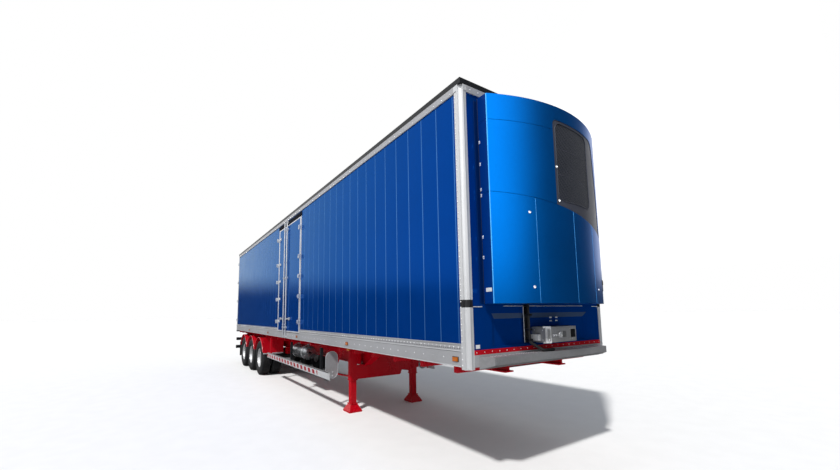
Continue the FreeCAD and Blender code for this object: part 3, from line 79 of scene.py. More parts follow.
class Nodes:
    """A node tree, emptied, with short names for the nodes used here."""

    def __init__(self, tree):
        self.tree = tree
        tree.nodes.clear()

    def node(self, kind, inputs=(), **values):
        """A shader node with its inputs put in, by name or number, and its settings."""
        made_node = self.tree.nodes.new("ShaderNode" + kind)
        for key, value in values.items():
            setattr(made_node, key, value)
        for key, value in dict(inputs).items():
            self.put(made_node.inputs[key], value)
        return made_node

    def put(self, socket, value):
        if isinstance(value, bpy.types.NodeSocket):
            self.tree.links.new(value, socket)
        elif socket.type == "RGBA" and len(value) == 3:
            socket.default_value = (*value, 1)
        else:
            socket.default_value = value

    def calc(self, what, a, b=0.0, clamp=False):
        return self.node("Math", {0: a, 1: b}, operation=what, use_clamp=clamp).outputs[0]

    def times(self, a, b):
        return self.calc("MULTIPLY", a, b)

    def between(self, value, low, high):
        """One where a value lies between two limits, and nought elsewhere."""
        return self.times(self.calc("GREATER_THAN", value, low),
                          self.calc("LESS_THAN", value, high))

    def parts(self, vector):
        """A vector's three measures."""
        return self.node("SeparateXYZ", {0: vector}).outputs

    def remap(self, value, low, high, to_low=0.0, to_high=1.0):
        return self.node("MapRange",
                         {"Value": value, "From Min": low, "From Max": high,
                          "To Min": to_low, "To Max": to_high},
                         interpolation_type="SMOOTHSTEP").outputs[0]


class Paint(Nodes):
    """A material, kept in made under its name."""

    def __init__(self, name):
        self.material = bpy.data.materials.new(name)
        self.material.use_nodes = True
        super().__init__(self.material.node_tree)
        self.shader = self.node("BsdfPrincipled")
        self.node("OutputMaterial", {"Surface": self.shader.outputs[0]})
        self.spot = self.node("TexCoord").outputs["Object"]
        self.x, self.y, self.z = self.parts(self.spot)
        made[name] = self

    def set(self, **values):
        """Shader values by socket name, with _ for a space."""
        for name, value in values.items():
            self.put(self.shader.inputs[name.replace("_", " ")], value)

    def noise(self, scale, detail=3.0, stretch=None):
        spot = self.spot
        if stretch:
            spot = self.node("Mapping", {"Vector": spot, "Scale": stretch}).outputs[0]
        return self.node("TexNoise", {"Scale": scale, "Detail": detail,
                                                "Vector": spot}).outputs["Fac"]

    def patches(self, scale, detail, low, high, to_low=0.0, to_high=1.0):
        return self.remap(self.noise(scale, detail), low, high, to_low, to_high)

    def blend(self, share, a, b):
        return self.node("Mix", {"Factor": share, "A": a, "B": b},
                         data_type="RGBA").outputs["Result"]

    def bump(self, height, depth, below=None):
        inputs = {"Distance": depth, "Height": height}
        if below:
            inputs["Normal"] = below
        return self.node("Bump", inputs).outputs[0]

    def facing(self):
        """The true normal's three measures."""
        return self.parts(self.node("NewGeometry").outputs["Normal"])

    def edges(self, radius):
        """The normal rounded over edges, and how much of an edge a point lies on."""
        soft = self.node("Bevel", {"Radius": radius}, samples=4).outputs[0]
        true = self.node("NewGeometry").outputs["Normal"]
        dot = self.node("VectorMath", {0: soft, 1: true}, operation="DOT_PRODUCT")
        return soft, self.remap(dot.outputs["Value"], 0.995, 0.86)


made = {}
ROAD_DUST = (0.16, 0.145, 0.125)


def shade(colour, by):
    """A colour made lighter or darker."""
    return tuple(min(max(c * by, 0), 1) for c in colour)


def finish(name, colour, rough, metal=0.0, level=0.5, mottle=0.1, grain=(300, 0.00003),
           brushed=None, wave=None, edge=0.003, worn=None, dust=None, dirt=ROAD_DUST, coat=0.0):
    """A material with mottled colour and sheen, fine grain, worn edges and road dust.

    wave is (scale, depth, stretch where it has one); worn is (colour, share) on edges;
    dust is (share, full below, none above).
    """
    p = Paint(name)
    tone = p.calc("ADD", p.times(p.noise(1.7, 4), 0.65), p.times(p.noise(31, 3), 0.35))
    tint = p.blend(p.remap(tone, 0.3, 0.7), shade(colour, 1 - mottle), shade(colour, 1 + mottle))
    polish = p.remap(tone, 0.3, 0.7, max(rough - 0.05, 0.02), rough + 0.07)
    normal, rim = p.edges(edge)
    if worn:
        rub = p.times(rim, p.patches(46, 4, 0.42, 0.62))
        tint = p.blend(p.times(rub, worn[1]), tint, worn[0])
    if dust:
        share, full, none = dust
        low = p.times(p.remap(p.z, none, full), p.patches(5, 5, 0.3, 0.75))
        film = p.times(low, share)
        tint = p.blend(film, tint, dirt)
        polish = p.calc("ADD", polish, p.times(film, 0.35), clamp=True)
    if wave:
        scale, depth, *stretch = wave
        normal = p.bump(p.noise(scale, 1, *stretch), depth, normal)
    if grain:
        normal = p.bump(p.noise(grain[0], 2, brushed), grain[1], normal)
    p.set(Base_Color=tint, Roughness=polish, Metallic=metal, Specular_IOR_Level=level,
          Coat_Weight=coat, Normal=normal)
    p.tint, p.normal = tint, normal
    return p


RED = (0.42, 0.0005, 0.008)
BLACK = (0.009, 0.01, 0.012)

finish("floor_alloy", (0.3, 0.31, 0.32), 0.42, 0.7, brushed=(0.05, 1, 1), dust=(0.35, 1.2, 1.6))
finish("roof_white", (0.66, 0.67, 0.67), 0.4, mottle=0.03, wave=(1.4, 0.003), level=0.3,
       dust=(0.1, 4.0, 4.5))
finish("rail_silver", (0.36, 0.365, 0.385), 0.42, 0.3, mottle=0.05, brushed=(0.02, 1, 1),
       grain=(300, 0.00004), level=0.3, worn=((0.55, 0.56, 0.58), 0.6), dust=(0.15, 1.25, 1.42))
finish("step_grey", (0.235, 0.238, 0.25), 0.42, 0.35, mottle=0.12, level=0.3,
       worn=((0.5, 0.5, 0.52), 0.8), dust=(0.2, 1.25, 1.45))
for black in ("trim_black", "stay_black"):
    finish(black, BLACK, 0.36, level=0.25, worn=((0.06, 0.06, 0.065), 0.4))
finish("gutter_dark", (0.003, 0.004, 0.008), 0.7, level=0.05)
# dark navy on the unit's frame and on the wall strips beside the flanks; the strips are painted
# shade in the gap
finish("frame_and_gap_shade_navy", (0.0, 0.016, 0.1), 0.45, 0.2, mottle=0.05, level=0.1)
finish("grille_dark", (0.058, 0.063, 0.085), 0.36, 0.3, level=0.3)
finish("grille_wire", (0.06, 0.064, 0.074), 0.42, 0.3, level=0.3)
finish("machine_dark", (0.004, 0.007, 0.022), 0.55, level=0.2)
finish("box_grey", (0.27, 0.273, 0.28), 0.4, 0.3, mottle=0.14, level=0.3,
       worn=((0.55, 0.55, 0.54), 0.7), dust=(0.25, 1.48, 1.6))
finish("hose_black", (0.012, 0.012, 0.014), 0.48, grain=(500, 0.0002))
finish("fitting_zinc", (0.56, 0.58, 0.61), 0.32, 0.5, worn=((0.75, 0.76, 0.8), 0.5),
       grain=(200, 0.0001))
finish("chassis_red", RED, 0.24, mottle=0.06, level=0.3, wave=(9, 0.0004),
       worn=((0.6, 0.05, 0.06), 0.2), dust=(0.03, 0.0, 0.9))
finish("coupler_steel", (0.09, 0.09, 0.095), 0.48, 0.6, worn=((0.4, 0.4, 0.4), 0.6))
finish("axle_black", (0.014, 0.014, 0.016), 0.52, level=0.3, worn=((0.08, 0.075, 0.07), 0.5),
       dust=(0.25, 0.2, 0.9))
finish("plate_grey", (0.31, 0.313, 0.33), 0.42, 0.3, level=0.3, worn=((0.6, 0.61, 0.63), 0.8))
finish("tank_polished", (0.27, 0.28, 0.3), 0.22, 0.85, mottle=0.04, brushed=(1, 0.03, 0.03),
       grain=(240, 0.00001))
finish("flap_rubber", (0.014, 0.014, 0.015), 0.66, level=0.2, dust=(0.4, 0.3, 0.9))
finish("tyre_rubber", (0.013, 0.0133, 0.015), 0.62, mottle=0.2, level=0.25, grain=(420, 0.0003),
       dust=(0.4, -0.6, -0.2), dirt=(0.07, 0.063, 0.055))
finish("wheel_silver", (0.56, 0.565, 0.58), 0.3, 0.5, mottle=0.08, worn=((0.7, 0.7, 0.72), 0.5),
       grain=(300, 0.0001))
finish("rivet_bright", (0.85, 0.86, 0.88), 0.28, 0.6)
# a lighter blue than the unit's paint: painted highlight for the beads on the unit's corners, foot
# and seams
finish("unit_highlight_blue", (0.08, 0.45, 1.0), 0.25, 0.4, mottle=0.03, level=0.2)
# a lighter, pinker red than the guard's paint: painted highlight on the rolled lips
finish("lip_red", (0.55, 0.06, 0.08), 0.18, mottle=0.05, coat=0.5)
finish("trim_alloy", (0.66, 0.67, 0.69), 0.32, 0.4, mottle=0.05, level=0.3)
finish("rail_white", (0.62, 0.63, 0.64), 0.36, 0.1, level=0.3)


def post_paint():
    """Bright extruded column, with a black band round it low down."""
    metal, band_low, band_high = 0.4, 1.894, 1.974
    p = finish("post_silver", (0.6, 0.61, 0.63), 0.32, metal, mottle=0.01, edge=0.0008,
               grain=(300, 0.00001), level=0.4)
    band = p.between(p.z, band_low, band_high)
    p.set(Base_Color=p.blend(band, p.tint, (0.012, 0.012, 0.014)),
          Metallic=p.times(p.calc("SUBTRACT", 1.0, band), metal))


BLUE_METAL = 0.5
LINING = (0.62, 0.63, 0.62)
LINING_SKIN = 0.02
PANEL_PITCH = 0.305
FIRST_JOINT = 0.853
# lighter blue for the plank joints: painted highlight
JOINT_HIGHLIGHT_TINT = (0.06, 0.19, 0.5)
# lighter grey-blue for faces that slant downward: painted highlight
BEVEL_HIGHLIGHT_TINT = (0.06, 0.1, 0.2)


def blue_sheet(name, wave, dust_top, edge=0.003):
    """The body's glossy blue."""
    p = finish(name, (0.0, 0.044, 0.265), 0.13, BLUE_METAL, mottle=0.04, edge=edge, level=0.03,
               wave=wave, dust=(0.01, 1.4, dust_top))
    p.set(Specular_Tint=(0.5, 0.85, 1.0))
    return p


def lined(p, what, value, limit):
    """White lining on the faces that look into the load space."""
    inside = p.calc(what, value, limit)
    p.set(Base_Color=p.blend(inside, p.tint, LINING),
          Metallic=p.times(p.calc("SUBTRACT", 1.0, inside), BLUE_METAL))


def body_paint():
    """Blue sheet in upright planks, with a fine joint between each two, drawn in a lighter blue as
    a painted highlight along the joints.
    """
    p = blue_sheet("body_blue", (1.1, 0.002, (1, 1, 0.25)), 2.2, edge=0.002)
    along = p.calc("DIVIDE", p.calc("SUBTRACT", p.x, cad_high.x - FIRST_JOINT), PANEL_PITCH)
    off = p.calc("ABSOLUTE", p.calc("SUBTRACT", p.calc("FRACT", p.calc("ADD", along, 0.5)), 0.5))
    flat = p.calc("GREATER_THAN", p.calc("ABSOLUTE", p.facing()[1]), 0.9)
    line = p.times(p.remap(off, 0.03, 0.012), flat)
    # the joints are drawn in a lighter blue: painted highlight along the plank joints
    p.tint = p.blend(p.times(line, 0.95), p.tint, JOINT_HIGHLIGHT_TINT)
    p.set(Normal=p.bump(p.calc("SUBTRACT", 1.0, line), 0.003, p.normal))
    lined(p, "LESS_THAN", p.calc("ABSOLUTE", p.y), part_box("side_walls")[1].y - LINING_SKIN)


def plain_paint(name, what, along, limit):
    """The same blue on door leaves and the front wall, which have no planks, with a lighter
    grey-blue on downward-slanted faces as a painted highlight.
    """
    p = blue_sheet(name, (1.6, 0.002), 2.0)
    # downward-slanted faces get a lighter grey-blue: painted highlight on the bevels
    under = p.between(p.facing()[2], -0.6, -0.15)
    p.tint = p.blend(under, p.tint, BEVEL_HIGHLIGHT_TINT)
    lined(p, what, getattr(p, along), limit)


def unit_paint():
    """Bright metallic blue ahead, and a darker, less metallic blue on the covers' flat flanks as
    painted shade.
    """
    metal, flank_shade_metal = 0.85, 0.3
    p = finish("unit_blue", (0.0, 0.148, 0.58), 0.29, metal, mottle=0.03, level=0.06,
               edge=0.0008, wave=(1.9, 0.0012), grain=None)
    # the flat flanks get a darker, less metallic blue: painted shade
    flank_shade = p.remap(p.calc("ABSOLUTE", p.facing()[1]), 0.9, 0.97)
    p.set(Base_Color=p.blend(flank_shade, p.tint, (0.0, 0.03, 0.19)),
          Roughness=p.patches(1.7, 1, 0.3, 0.7, 0.28, 0.31),
          Metallic=p.remap(flank_shade, 0.0, 1.0, metal, flank_shade_metal))


def stay_paint():
    """The black stays are red where they stand by the red mudguard."""
    reach = 1.6
    p = made["stay_black"]
    near = p.calc("LESS_THAN", p.x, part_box("mudguards")[1].x + reach)
    p.set(Base_Color=p.blend(near, p.tint, RED))


def guard_paint():
    """White rail, plain at its front end and then barred in red on the slant."""
    pitch, plain, lean = 0.26, 0.62, 0.55
    p = finish("guard_white", (0.62, 0.63, 0.65), 0.34, 0.3, worn=((0.7, 0.7, 0.7), 0.3),
               dust=(0.14, 0.5, 0.9))
    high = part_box("side_guards")[1]
    slant = p.calc("ADD", p.x, p.times(p.z, lean))
    share = p.calc("FRACT", p.calc("DIVIDE", slant, pitch))
    bar = p.times(p.remap(share, 0.44, 0.47), p.remap(share, 0.99, 0.96))
    there = p.calc("LESS_THAN", p.x, high.x - plain)
    bar = p.times(p.times(bar, there), p.between(p.z, high.z - 0.115, high.z - 0.035))
    p.set(Base_Color=p.blend(bar, p.tint, (0.4, 0.006, 0.02)))


def lamp_glass(name, colour):
    """Ribbed coloured glass with a faint glow."""
    p = Paint(name)
    ribs = p.calc("SINE", p.times(p.z, 900))
    p.set(Base_Color=p.blend(p.patches(40, 3, 0.3, 0.7), shade(colour, 0.8), colour),
          Roughness=p.patches(60, 3, 0.3, 0.7, 0.08, 0.2), Transmission_Weight=0.25,
          Coat_Weight=0.6, Emission_Color=colour, Emission_Strength=0.04,
          Normal=p.bump(ribs, 0.0006))


post_paint()
unit_paint()
stay_paint()
body_paint()
plain_paint("wall_blue", "LESS_THAN", "x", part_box("front_wall")[0].x + LINING_SKIN)
plain_paint("side_leaf_blue", "GREATER_THAN", "y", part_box("side_door_front")[0].y + LINING_SKIN)
plain_paint("rear_leaf_blue", "GREATER_THAN", "x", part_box("rear_door_left")[0].x + LINING_SKIN)
guard_paint()
lamp_glass("lamp_amber", (0.6, 0.15, 0.008))
lamp_glass("lamp_red", (0.5, 0.008, 0.006))

# the nodes whose finish isn't the one that their slot names
OWN_FINISH = {
    "front_wall": "wall_blue", "side_door_front": "side_leaf_blue",
    "side_door_rear": "side_leaf_blue", "rear_door_left": "rear_leaf_blue",
    "rear_door_right": "rear_leaf_blue", "corner_posts": "post_silver",
    "door_gutter": "gutter_dark", "guard_stays": "stay_black", "unit_frame": "frame_and_gap_shade_navy"}
for name, node in NODES.items():
    for place in node.material_slots:
        slot_name = place.material.name.split(".")[0]
        place.material = made[OWN_FINISH.get(name, slot_name)].material


# Mesh tools

def arc(first, last, steps):
    """The cosine and sine of even angles from one to another."""
    turns = (first + (last - first) * i / steps for i in range(steps + 1))
    return [(math.cos(turn), math.sin(turn)) for turn in turns]


def ring(centre, one, other, radius, steps):
    """Even points on a circle whose plane holds two directions."""
    return [centre + (one * cos + other * sin) * radius for cos, sin in arc(0, TAU, steps)[:-1]]


def spokes(count, shift=0.0):
    """Even directions round a wheel."""
    first = TAU * shift / count
    return [Vector((cos, 0, sin)) for cos, sin in arc(first, first + TAU, count)[:-1]]


def span(low, high, pitch):
    """Even places between two ends, about a pitch apart."""
    count = max(int(round((high - low) / pitch)), 1)
    return [low + (high - low) * i / count for i in range(count + 1)]


trees = {}


def land(node, start, way):
    """Where a line from a point meets a CAD node, and that face's direction."""
    if node not in trees:
        data = NODES[node].data
        trees[node] = BVHTree.FromPolygons([v.co.copy() for v in data.vertices],
                                           [tuple(p.vertices) for p in data.polygons])
    spot, facing, _, _ = trees[node].ray_cast(Vector(start), Vector(way).normalized())
    if spot is None:
        return None
    return spot, (-facing if facing.dot(Vector(way)) > 0 else facing)


class Form:
    """One piece's mesh, put together in the trailer's own frame."""

    def __init__(self):
        self.mesh = bmesh.new()

    def brick(self, corners):
        """Six faces on eight corners, given along, then across, then up."""
        verts = [self.mesh.verts.new(corner) for corner in corners]
        for face in ((0, 2, 3, 1), (4, 5, 7, 6), (0, 1, 5, 4),
                     (2, 6, 7, 3), (0, 4, 6, 2), (1, 3, 7, 5)):
            self.mesh.faces.new([verts[i] for i in face])

    def block(self, one, other):
        """A block between two opposite corners."""
        xs, ys, zs = (sorted(pair) for pair in zip(one, other))
        self.brick([(x, y, z) for z in zs for y in ys for x in xs])

    def slab(self, centre, along, across, out, size):
        """A block by its centre, three directions and three sizes."""
        a, b, c = (Vector(v).normalized() * s / 2 for v, s in zip((along, across, out), size))
        self.brick([Vector(centre) + i * a + j * b + k * c
                    for k in SIDES for j in SIDES for i in SIDES])

    def rows(self, rows, closed=False, looped=False):
        """A surface through rows of points; closed joins each row's ends, looped the rows."""
        count = len(rows[0])
        flat = [self.mesh.verts.new(c) for row in rows for c in row]
        for r in range(len(rows) if looped else len(rows) - 1):
            below, above = r * count, (r + 1) % len(rows) * count
            for i in range(count if closed else count - 1):
                j = (i + 1) % count
                self.mesh.faces.new((flat[below + i], flat[below + j],
                                     flat[above + j], flat[above + i]))
        return flat

    def rounds(self, rings, looped=False, capped=False):
        """A surface through closed rings, with a face over each end where it is capped."""
        flat = self.rows(rings, closed=True, looped=looped)
        if capped:
            count = len(rings[0])
            self.mesh.faces.new(flat[:count][::-1])
            self.mesh.faces.new(flat[-count:])

    def lathe(self, centre, facing, profile, steps, looped=False, capped=False):
        """A turned shape: (distance along facing, radius) pairs round a centre line."""
        axis = Vector(facing).normalized()
        one = axis.orthogonal().normalized()
        other = axis.cross(one)
        self.rounds([ring(Vector(centre) + axis * along, one, other, radius, steps)
                     for along, radius in profile], looped, capped)

    def stud(self, at, facing, radius, tall):
        """A low domed rivet or bolt head."""
        self.lathe(at, facing, [(-0.001, radius), (tall * 0.45, radius * 0.92),
                                (tall * 0.85, radius * 0.6), (tall, radius * 0.15)],
                   8, capped=True)

    def studs_on(self, node, starts, way, radius=0.008, tall=0.005):
        """Studs where lines from the starts meet a CAD node."""
        for start in starts:
            hit = land(node, start, way)
            if hit:
                self.stud(*hit, radius, tall)

    def stud_row(self, node, first, along, last, pitch, way, *size):
        """Studs on a node in an even row: from a point, up to a place along x, y or z."""
        places = span(first[along], last, pitch)
        self.studs_on(node, [(*first[:along], place, *first[along + 1:]) for place in places],
                      way, *size)

    def nut(self, at, facing, radius, tall):
        """A hexagon nut on a washer."""
        washer = radius * 1.35
        self.lathe(at, facing, [(0, washer), (tall * 0.12, washer)], 16, capped=True)
        self.lathe(at, facing, [(tall * 0.1, radius), (tall * 0.9, radius),
                                (tall, radius * 0.8)], 6, capped=True)

    def collar(self, at, radius, steps):
        """A collar round an upright rod."""
        half, wall = 0.012, 0.004
        self.lathe(at, Z, [(-half, radius), (-half, radius + wall),
                           (half, radius + wall), (half, radius)], steps)

    def tube(self, points, radius, sides=12, capped=True):
        """A round bar along a line of points."""
        points = [Vector(p) for p in points]
        rings = []
        one = None
        for i, point in enumerate(points):
            before = (point - points[i - 1]).normalized() if i else None
            after = (points[i + 1] - point).normalized() if i + 1 < len(points) else None
            way = ((before or after) + (after or before)).normalized()
            one = (one - way * one.dot(way)).normalized() if one else way.orthogonal().normalized()
            reach = radius / max(way.dot(after or before), 0.5)
            rings.append(ring(point, one, way.cross(one), reach, sides))
        self.rounds(rings, capped=capped)

    def data(self, name, angle=None):
        """The mesh as Blender's data, smooth where faces meet within the angle."""
        bmesh.ops.recalc_face_normals(self.mesh, faces=self.mesh.faces)
        data = bpy.data.meshes.new(name)
        self.mesh.to_mesh(data)
        self.mesh.free()
        if angle:
            data.shade_smooth()
            data.set_sharp_from_angle(angle=math.radians(angle))
        return data

    def piece(self, name, paint, slot=None, body=TRAILER, angle=35, **more):
        """Turns the mesh into a piece that rides on a body."""
        return settle(name, self.data(name, angle), paint, slot or paint, body, **more)


def link(name, data):
    """A new object in the scene."""
    thing = bpy.data.objects.new(name, data)
    bpy.context.scene.collection.objects.link(thing)
    return thing


def settle(name, data, paint, slot, body, bevel=0.0, segments=2, thick=0.0, replaces=(),
           turn=None):
    """Makes a piece of mesh data, with its paint, body and replaced nodes; its slot is not used.
    """
    piece = link(name, data)
    if turn:
        piece.matrix_world = turn
    if not data.materials:
        data.materials.append(made[paint].material)
    if thick:
        wall = piece.modifiers.new("wall", "SOLIDIFY")
        wall.thickness, wall.offset = thick, -1
    if bevel:
        soft = piece.modifiers.new("soft", "BEVEL")
        soft.width, soft.segments, soft.limit_method = bevel, segments, "ANGLE"
        soft.angle_limit = math.radians(35)
        soft.harden_normals = True
    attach(piece, body)
    if replaces:
        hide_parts(*replaces)
    return piece


def blocks(name, paint, slot, corners, **more):
    """A piece of blocks alone, each given by two opposite corners."""
    form = Form()
    for one, other in corners:
        form.block(one, other)
    form.piece(name, paint, slot, **more)


# Tyres and wheels

def tyre_shape():
    """Half a tyre's outline as (distance from its middle, radius), bead to crown."""
    return [(0.098, 0.2935), (0.112, 0.2925), (0.12, 0.297), (0.126, 0.308), (0.13, 0.322),
            (0.1335, 0.328), (0.1365, 0.345), (0.1385, 0.349), (0.1395, 0.375), (0.14, 0.405),
            (0.1395, 0.432), (0.1375, 0.452), (0.1385, 0.457), (0.1345, 0.47), (0.129, 0.487),
            (0.1245, 0.498), (0.1235, 0.505), (0.1175, 0.5145), (0.11, 0.5195), (0.096, 0.522),
            (0.083, 0.5235), (0.08, 0.512), (0.071, 0.512), (0.068, 0.524),
            (0.03, 0.5248), (0.027, 0.512), (0.018, 0.512), (0.015, 0.525)]


def twin_tyres():
    """Two tyres side by side: ribbed tread, notched shoulders, ringed walls."""
    form = Form()
    half = tyre_shape()
    profile = half + [(-a, r) for a, r in reversed(half)]
    twin_half = 0.165
    for middle in (-twin_half, twin_half):
        rows = []
        for k, spoke in enumerate(spokes(120)):
            row = []
            for along, radius in profile:
                edge = abs(along)
                if k % 4 == 0 and 0.082 < edge < 0.124 and radius > 0.5:
                    radius -= 0.01
                elif k % 2 == 0 and edge < 0.07 and radius > 0.523:
                    radius -= 0.0028
                row.append(spoke * radius + Y * (middle + along))
            rows.append(row)
        form.rows(rows, closed=True, looped=True)
        for side in SIDES:
            for spoke in spokes(48, 0.5):
                form.slab(spoke * 0.478 + Y * (middle + side * 0.1315), spoke, spoke.cross(Y),
                          Y * side, (0.016, 0.006, 0.003))
    return form.data("twin_tyres", 40)


# a rim's outline as (distance from the pair's middle, radius), from its lip inward
RIM = [(0.255, 0.2915), (0.272, 0.291), (0.2775, 0.289), (0.278, 0.284), (0.2745, 0.28),
       (0.268, 0.2775), (0.256, 0.2735), (0.24, 0.2725), (0.228, 0.264), (0.205, 0.26)]


def bored_disc():
    """The outer rim and disc in one, with ten hand holes cut through it."""
    profile = RIM + [
        (0.15, 0.258), (0.09, 0.256), (0.062, 0.252), (0.045, 0.244), (0.036, 0.232),
        (0.034, 0.22), (0.042, 0.204), (0.056, 0.192), (0.06, 0.186), (0.06, 0.118),
        (0.056, 0.116), (0.046, 0.116), (0.046, 0.186), (0.04, 0.192), (0.026, 0.204),
        (0.016, 0.22), (0.018, 0.24), (0.04, 0.264), (0.09, 0.27), (0.15, 0.272), (0.24, 0.285)]
    disc, holes = Form(), Form()
    disc.lathe((0, 0, 0), Y, profile, 90, looped=True)
    for spoke in spokes(10):
        holes.lathe(spoke * 0.214 - Y * 0.05, Y, [(0, 0.0225), (0.2, 0.0225)], 20, capped=True)
    body, knife = link("disc", disc.data("disc")), link("holes", holes.data("holes"))
    cut = body.modifiers.new("cut", "BOOLEAN")
    cut.operation, cut.object, cut.solver = "DIFFERENCE", knife, "EXACT"
    bpy.context.view_layer.update()
    depsgraph = bpy.context.evaluated_depsgraph_get()
    bored = bpy.data.meshes.new_from_object(body.evaluated_get(depsgraph))
    for thing in (body, knife):
        bpy.data.objects.remove(thing)
    return bored


def twin_wheel():
    """A deep-dished twin wheel: rims, pressed disc with hand holes, nuts, hub, drum."""
    inner = [(-a, r) for a, r in RIM] + [
        (-0.04, 0.258), (-0.01, 0.248), (0.004, 0.236), (0.01, 0.22), (0.012, 0.118),
        (0.006, 0.118), (0.0, 0.22), (-0.01, 0.23), (-0.04, 0.27), (-0.205, 0.272),
        (-0.24, 0.285)]
    drum = [(0.02, 0.116), (-0.02, 0.205), (-0.15, 0.218), (-0.205, 0.22),
            (-0.215, 0.226), (-0.225, 0.226), (-0.232, 0.218), (-0.228, 0.205),
            (-0.222, 0.15), (-0.218, 0.09), (-0.212, 0.074), (-0.2, 0.053),
            (-0.06, 0.053), (0.02, 0.09)]
    hub = [(0.04, 0.115), (0.064, 0.115), (0.066, 0.108), (0.07, 0.096), (0.11, 0.09),
           (0.116, 0.088), (0.118, 0.078), (0.121, 0.074), (0.141, 0.07), (0.148, 0.064),
           (0.15, 0.056), (0.15, 0.0001)]
    form = Form()
    form.mesh.from_mesh(bored_disc())
    for profile, steps, looped in ((inner, 72, True), (drum, 60, True), (hub, 60, False)):
        form.lathe((0, 0, 0), Y, profile, steps, looped)
    for spoke in spokes(10, 0.5):
        form.nut(spoke * 0.1675 + Y * 0.06, Y, 0.0185, 0.03)
        form.stud(spoke * 0.1675 + Y * 0.088, Y, 0.01, 0.012)
    for spoke in spokes(6):
        form.nut(spoke * 0.083 + Y * 0.116, Y, 0.0065, 0.008)
    valve = Vector((math.cos(0.3), 0, math.sin(0.3)))
    form.tube([valve * out + Y * along
               for out, along in ((0.238, 0.03), (0.236, 0.08), (0.24, 0.13))], 0.005, 8)
    return form.data("twin_wheel", 32)


def wheels():
    """The same pair of tyres and wheel at each end of each axle, disc side out."""
    tyre_mesh, wheel_mesh = twin_tyres(), twin_wheel()
    for axle in AXLES:
        for side, word in SIDE_WORDS:
            end = axle + "_" + word
            low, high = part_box("tyres_" + end)
            turn = (Matrix.Translation((low + high) / 2)
                    @ Matrix.Rotation(0 if side > 0 else math.pi, 4, "Z"))
            for name, mesh, paint, node in (
                    ("tyre_pair_", tyre_mesh, "tyre_rubber", "tyres_"),
                    ("wheel_pair_", wheel_mesh, "wheel_silver", "wheel_")):
                settle(name + end, mesh, paint, paint, "wheels_" + end, replaces=[node + end],
                       turn=turn)


# Mudguards and air tank

def mudguard(axle, side, word, high):
    """One pressed half-round guard with a rolled lip, painted a lighter pink-red as a painted
    highlight, and its bracket.
    """
    sweep = math.radians(20)
    radius, lip_radius = 0.64, 0.634
    half = [(0.0, -0.02), (0.0, -0.004), (0.003, -0.001), (0.008, 0.0), (0.04, 0.0),
            (0.048, -0.004), (0.056, 0.0), (0.29, 0.0)]
    section = half + [(0.3, -0.003)] + [(0.6 - across, lift) for across, lift in reversed(half)]
    wheel_low, wheel_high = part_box("tyres_%s_right" % axle)
    centre = (wheel_low + wheel_high) / 2
    end = "%s_%s" % (axle, word)
    form = Form()
    form.rows([[(centre.x + (radius + lift) * cos, side * (high.y - across),
                 centre.z + (radius + lift) * sin) for across, lift in section]
               for cos, sin in arc(sweep, math.pi - sweep, 48)])
    form.piece("mudguard_" + end, "chassis_red", thick=0.004, replaces=["mudguards"])
    lip = Form()
    lip.tube([(centre.x + lip_radius * cos, side * (high.y - 0.004), centre.z + lip_radius * sin)
              for cos, sin in arc(sweep, math.pi - sweep, 36)], 0.0075, 8)
    lip.piece("mudguard_lip_" + end, "lip_red", "chassis_red")
    rest = Form()
    rest.block((centre.x - 0.02, side * 0.7, high.z - 0.034),
               (centre.x + 0.02, side * 1.12, high.z))
    for across in (0.75, 1.07):
        rest.nut((centre.x, side * across, high.z - 0.0345), -Z, 0.009, 0.008)
    rest.piece("mudguard_bracket_" + end, "chassis_red", bevel=0.002)


def mudguard_front(side, word, low, high):
    """The panel ahead of the first mudguard, with its ribs and bright foot strip."""
    near, far = side * high.y, side * 0.64
    x = high.x
    form = Form()
    form.block((x - 0.007, near, low.z + 0.03), (x - 0.003, far, high.z))
    form.block((x - 0.034, near, low.z + 0.03), (x - 0.003, near - side * 0.004, high.z))
    for share in (0.3, 0.66):
        y = near + (far - near) * share
        form.block((x - 0.004, y - 0.014, low.z + 0.08), (x, y + 0.014, high.z - 0.04))
    form.piece("mudguard_panel_" + word, "chassis_red", bevel=0.0015)
    strip = Form()
    strip.block((x - 0.009, near, low.z), (x, far, low.z + 0.034))
    for share in (0.1, 0.37, 0.63, 0.9):
        strip.stud((x, near + (far - near) * share, low.z + 0.017), X, 0.006, 0.003)
    strip.piece("mudguard_strip_" + word, "fitting_zinc", bevel=0.002)


def mudguards():
    """A guard over each twin wheel, and a front panel on each side."""
    for axle in AXLES:
        for side, word in reversed(SIDE_WORDS):
            mudguard(axle, side, word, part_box("mudguards")[1])
    for side, word in reversed(SIDE_WORDS):
        mudguard_front(side, word, *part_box("mudguards"))


def air_tank():
    """Polished tank: rolled shell, dished ends with rings, two straps, its arms."""
    low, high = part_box("air_tank")
    radius = 0.165
    side, height = low.y + radius, low.z + radius
    long = high.x - low.x
    dish = [(0.0, 0.0001), (0.0, 0.04), (0.004, 0.08), (0.012, 0.112), (0.024, 0.138),
            (0.038, 0.155), (0.048, 0.162), (0.058, 0.164)]
    seam = [(0.066, 0.164), (0.068, radius), (0.074, radius), (0.076, 0.1635)]
    half = dish + seam
    shell = Form()
    shell.lathe((low.x, side, height), X, half + [(long - a, r) for a, r in reversed(half)], 72)
    for x, way in ((low.x, -1), (high.x, 1)):
        shell.lathe((x - way * 0.006, side, height), X * way,
                    [(0, 0.03), (0.005, 0.03), (0.006, 0.026), (0.006, 0.0001)], 24)
    shell.piece("air_tank_shell", "tank_polished", replaces=["air_tank"], angle=28)
    rest = Form()
    for share in (0.15, 0.85):
        x = high.x - share * long
        rest.lathe((x - 0.02, side, height), X,
                   [(0, 0.164), (0, radius), (0.04, radius), (0.04, 0.164)], 72)
        rest.block((x - 0.025, side - 0.012, high.z - 0.04), (x + 0.025, high.y, high.z))
    rest.lathe((low.x + long / 2, side, height - 0.163), -Z,
               [(0, 0.014), (0.001, 0.012), (0.002, 0.0001)], 16)
    rest.piece("air_tank_straps", "fitting_zinc", bevel=0.0015)


# Rivets on the body

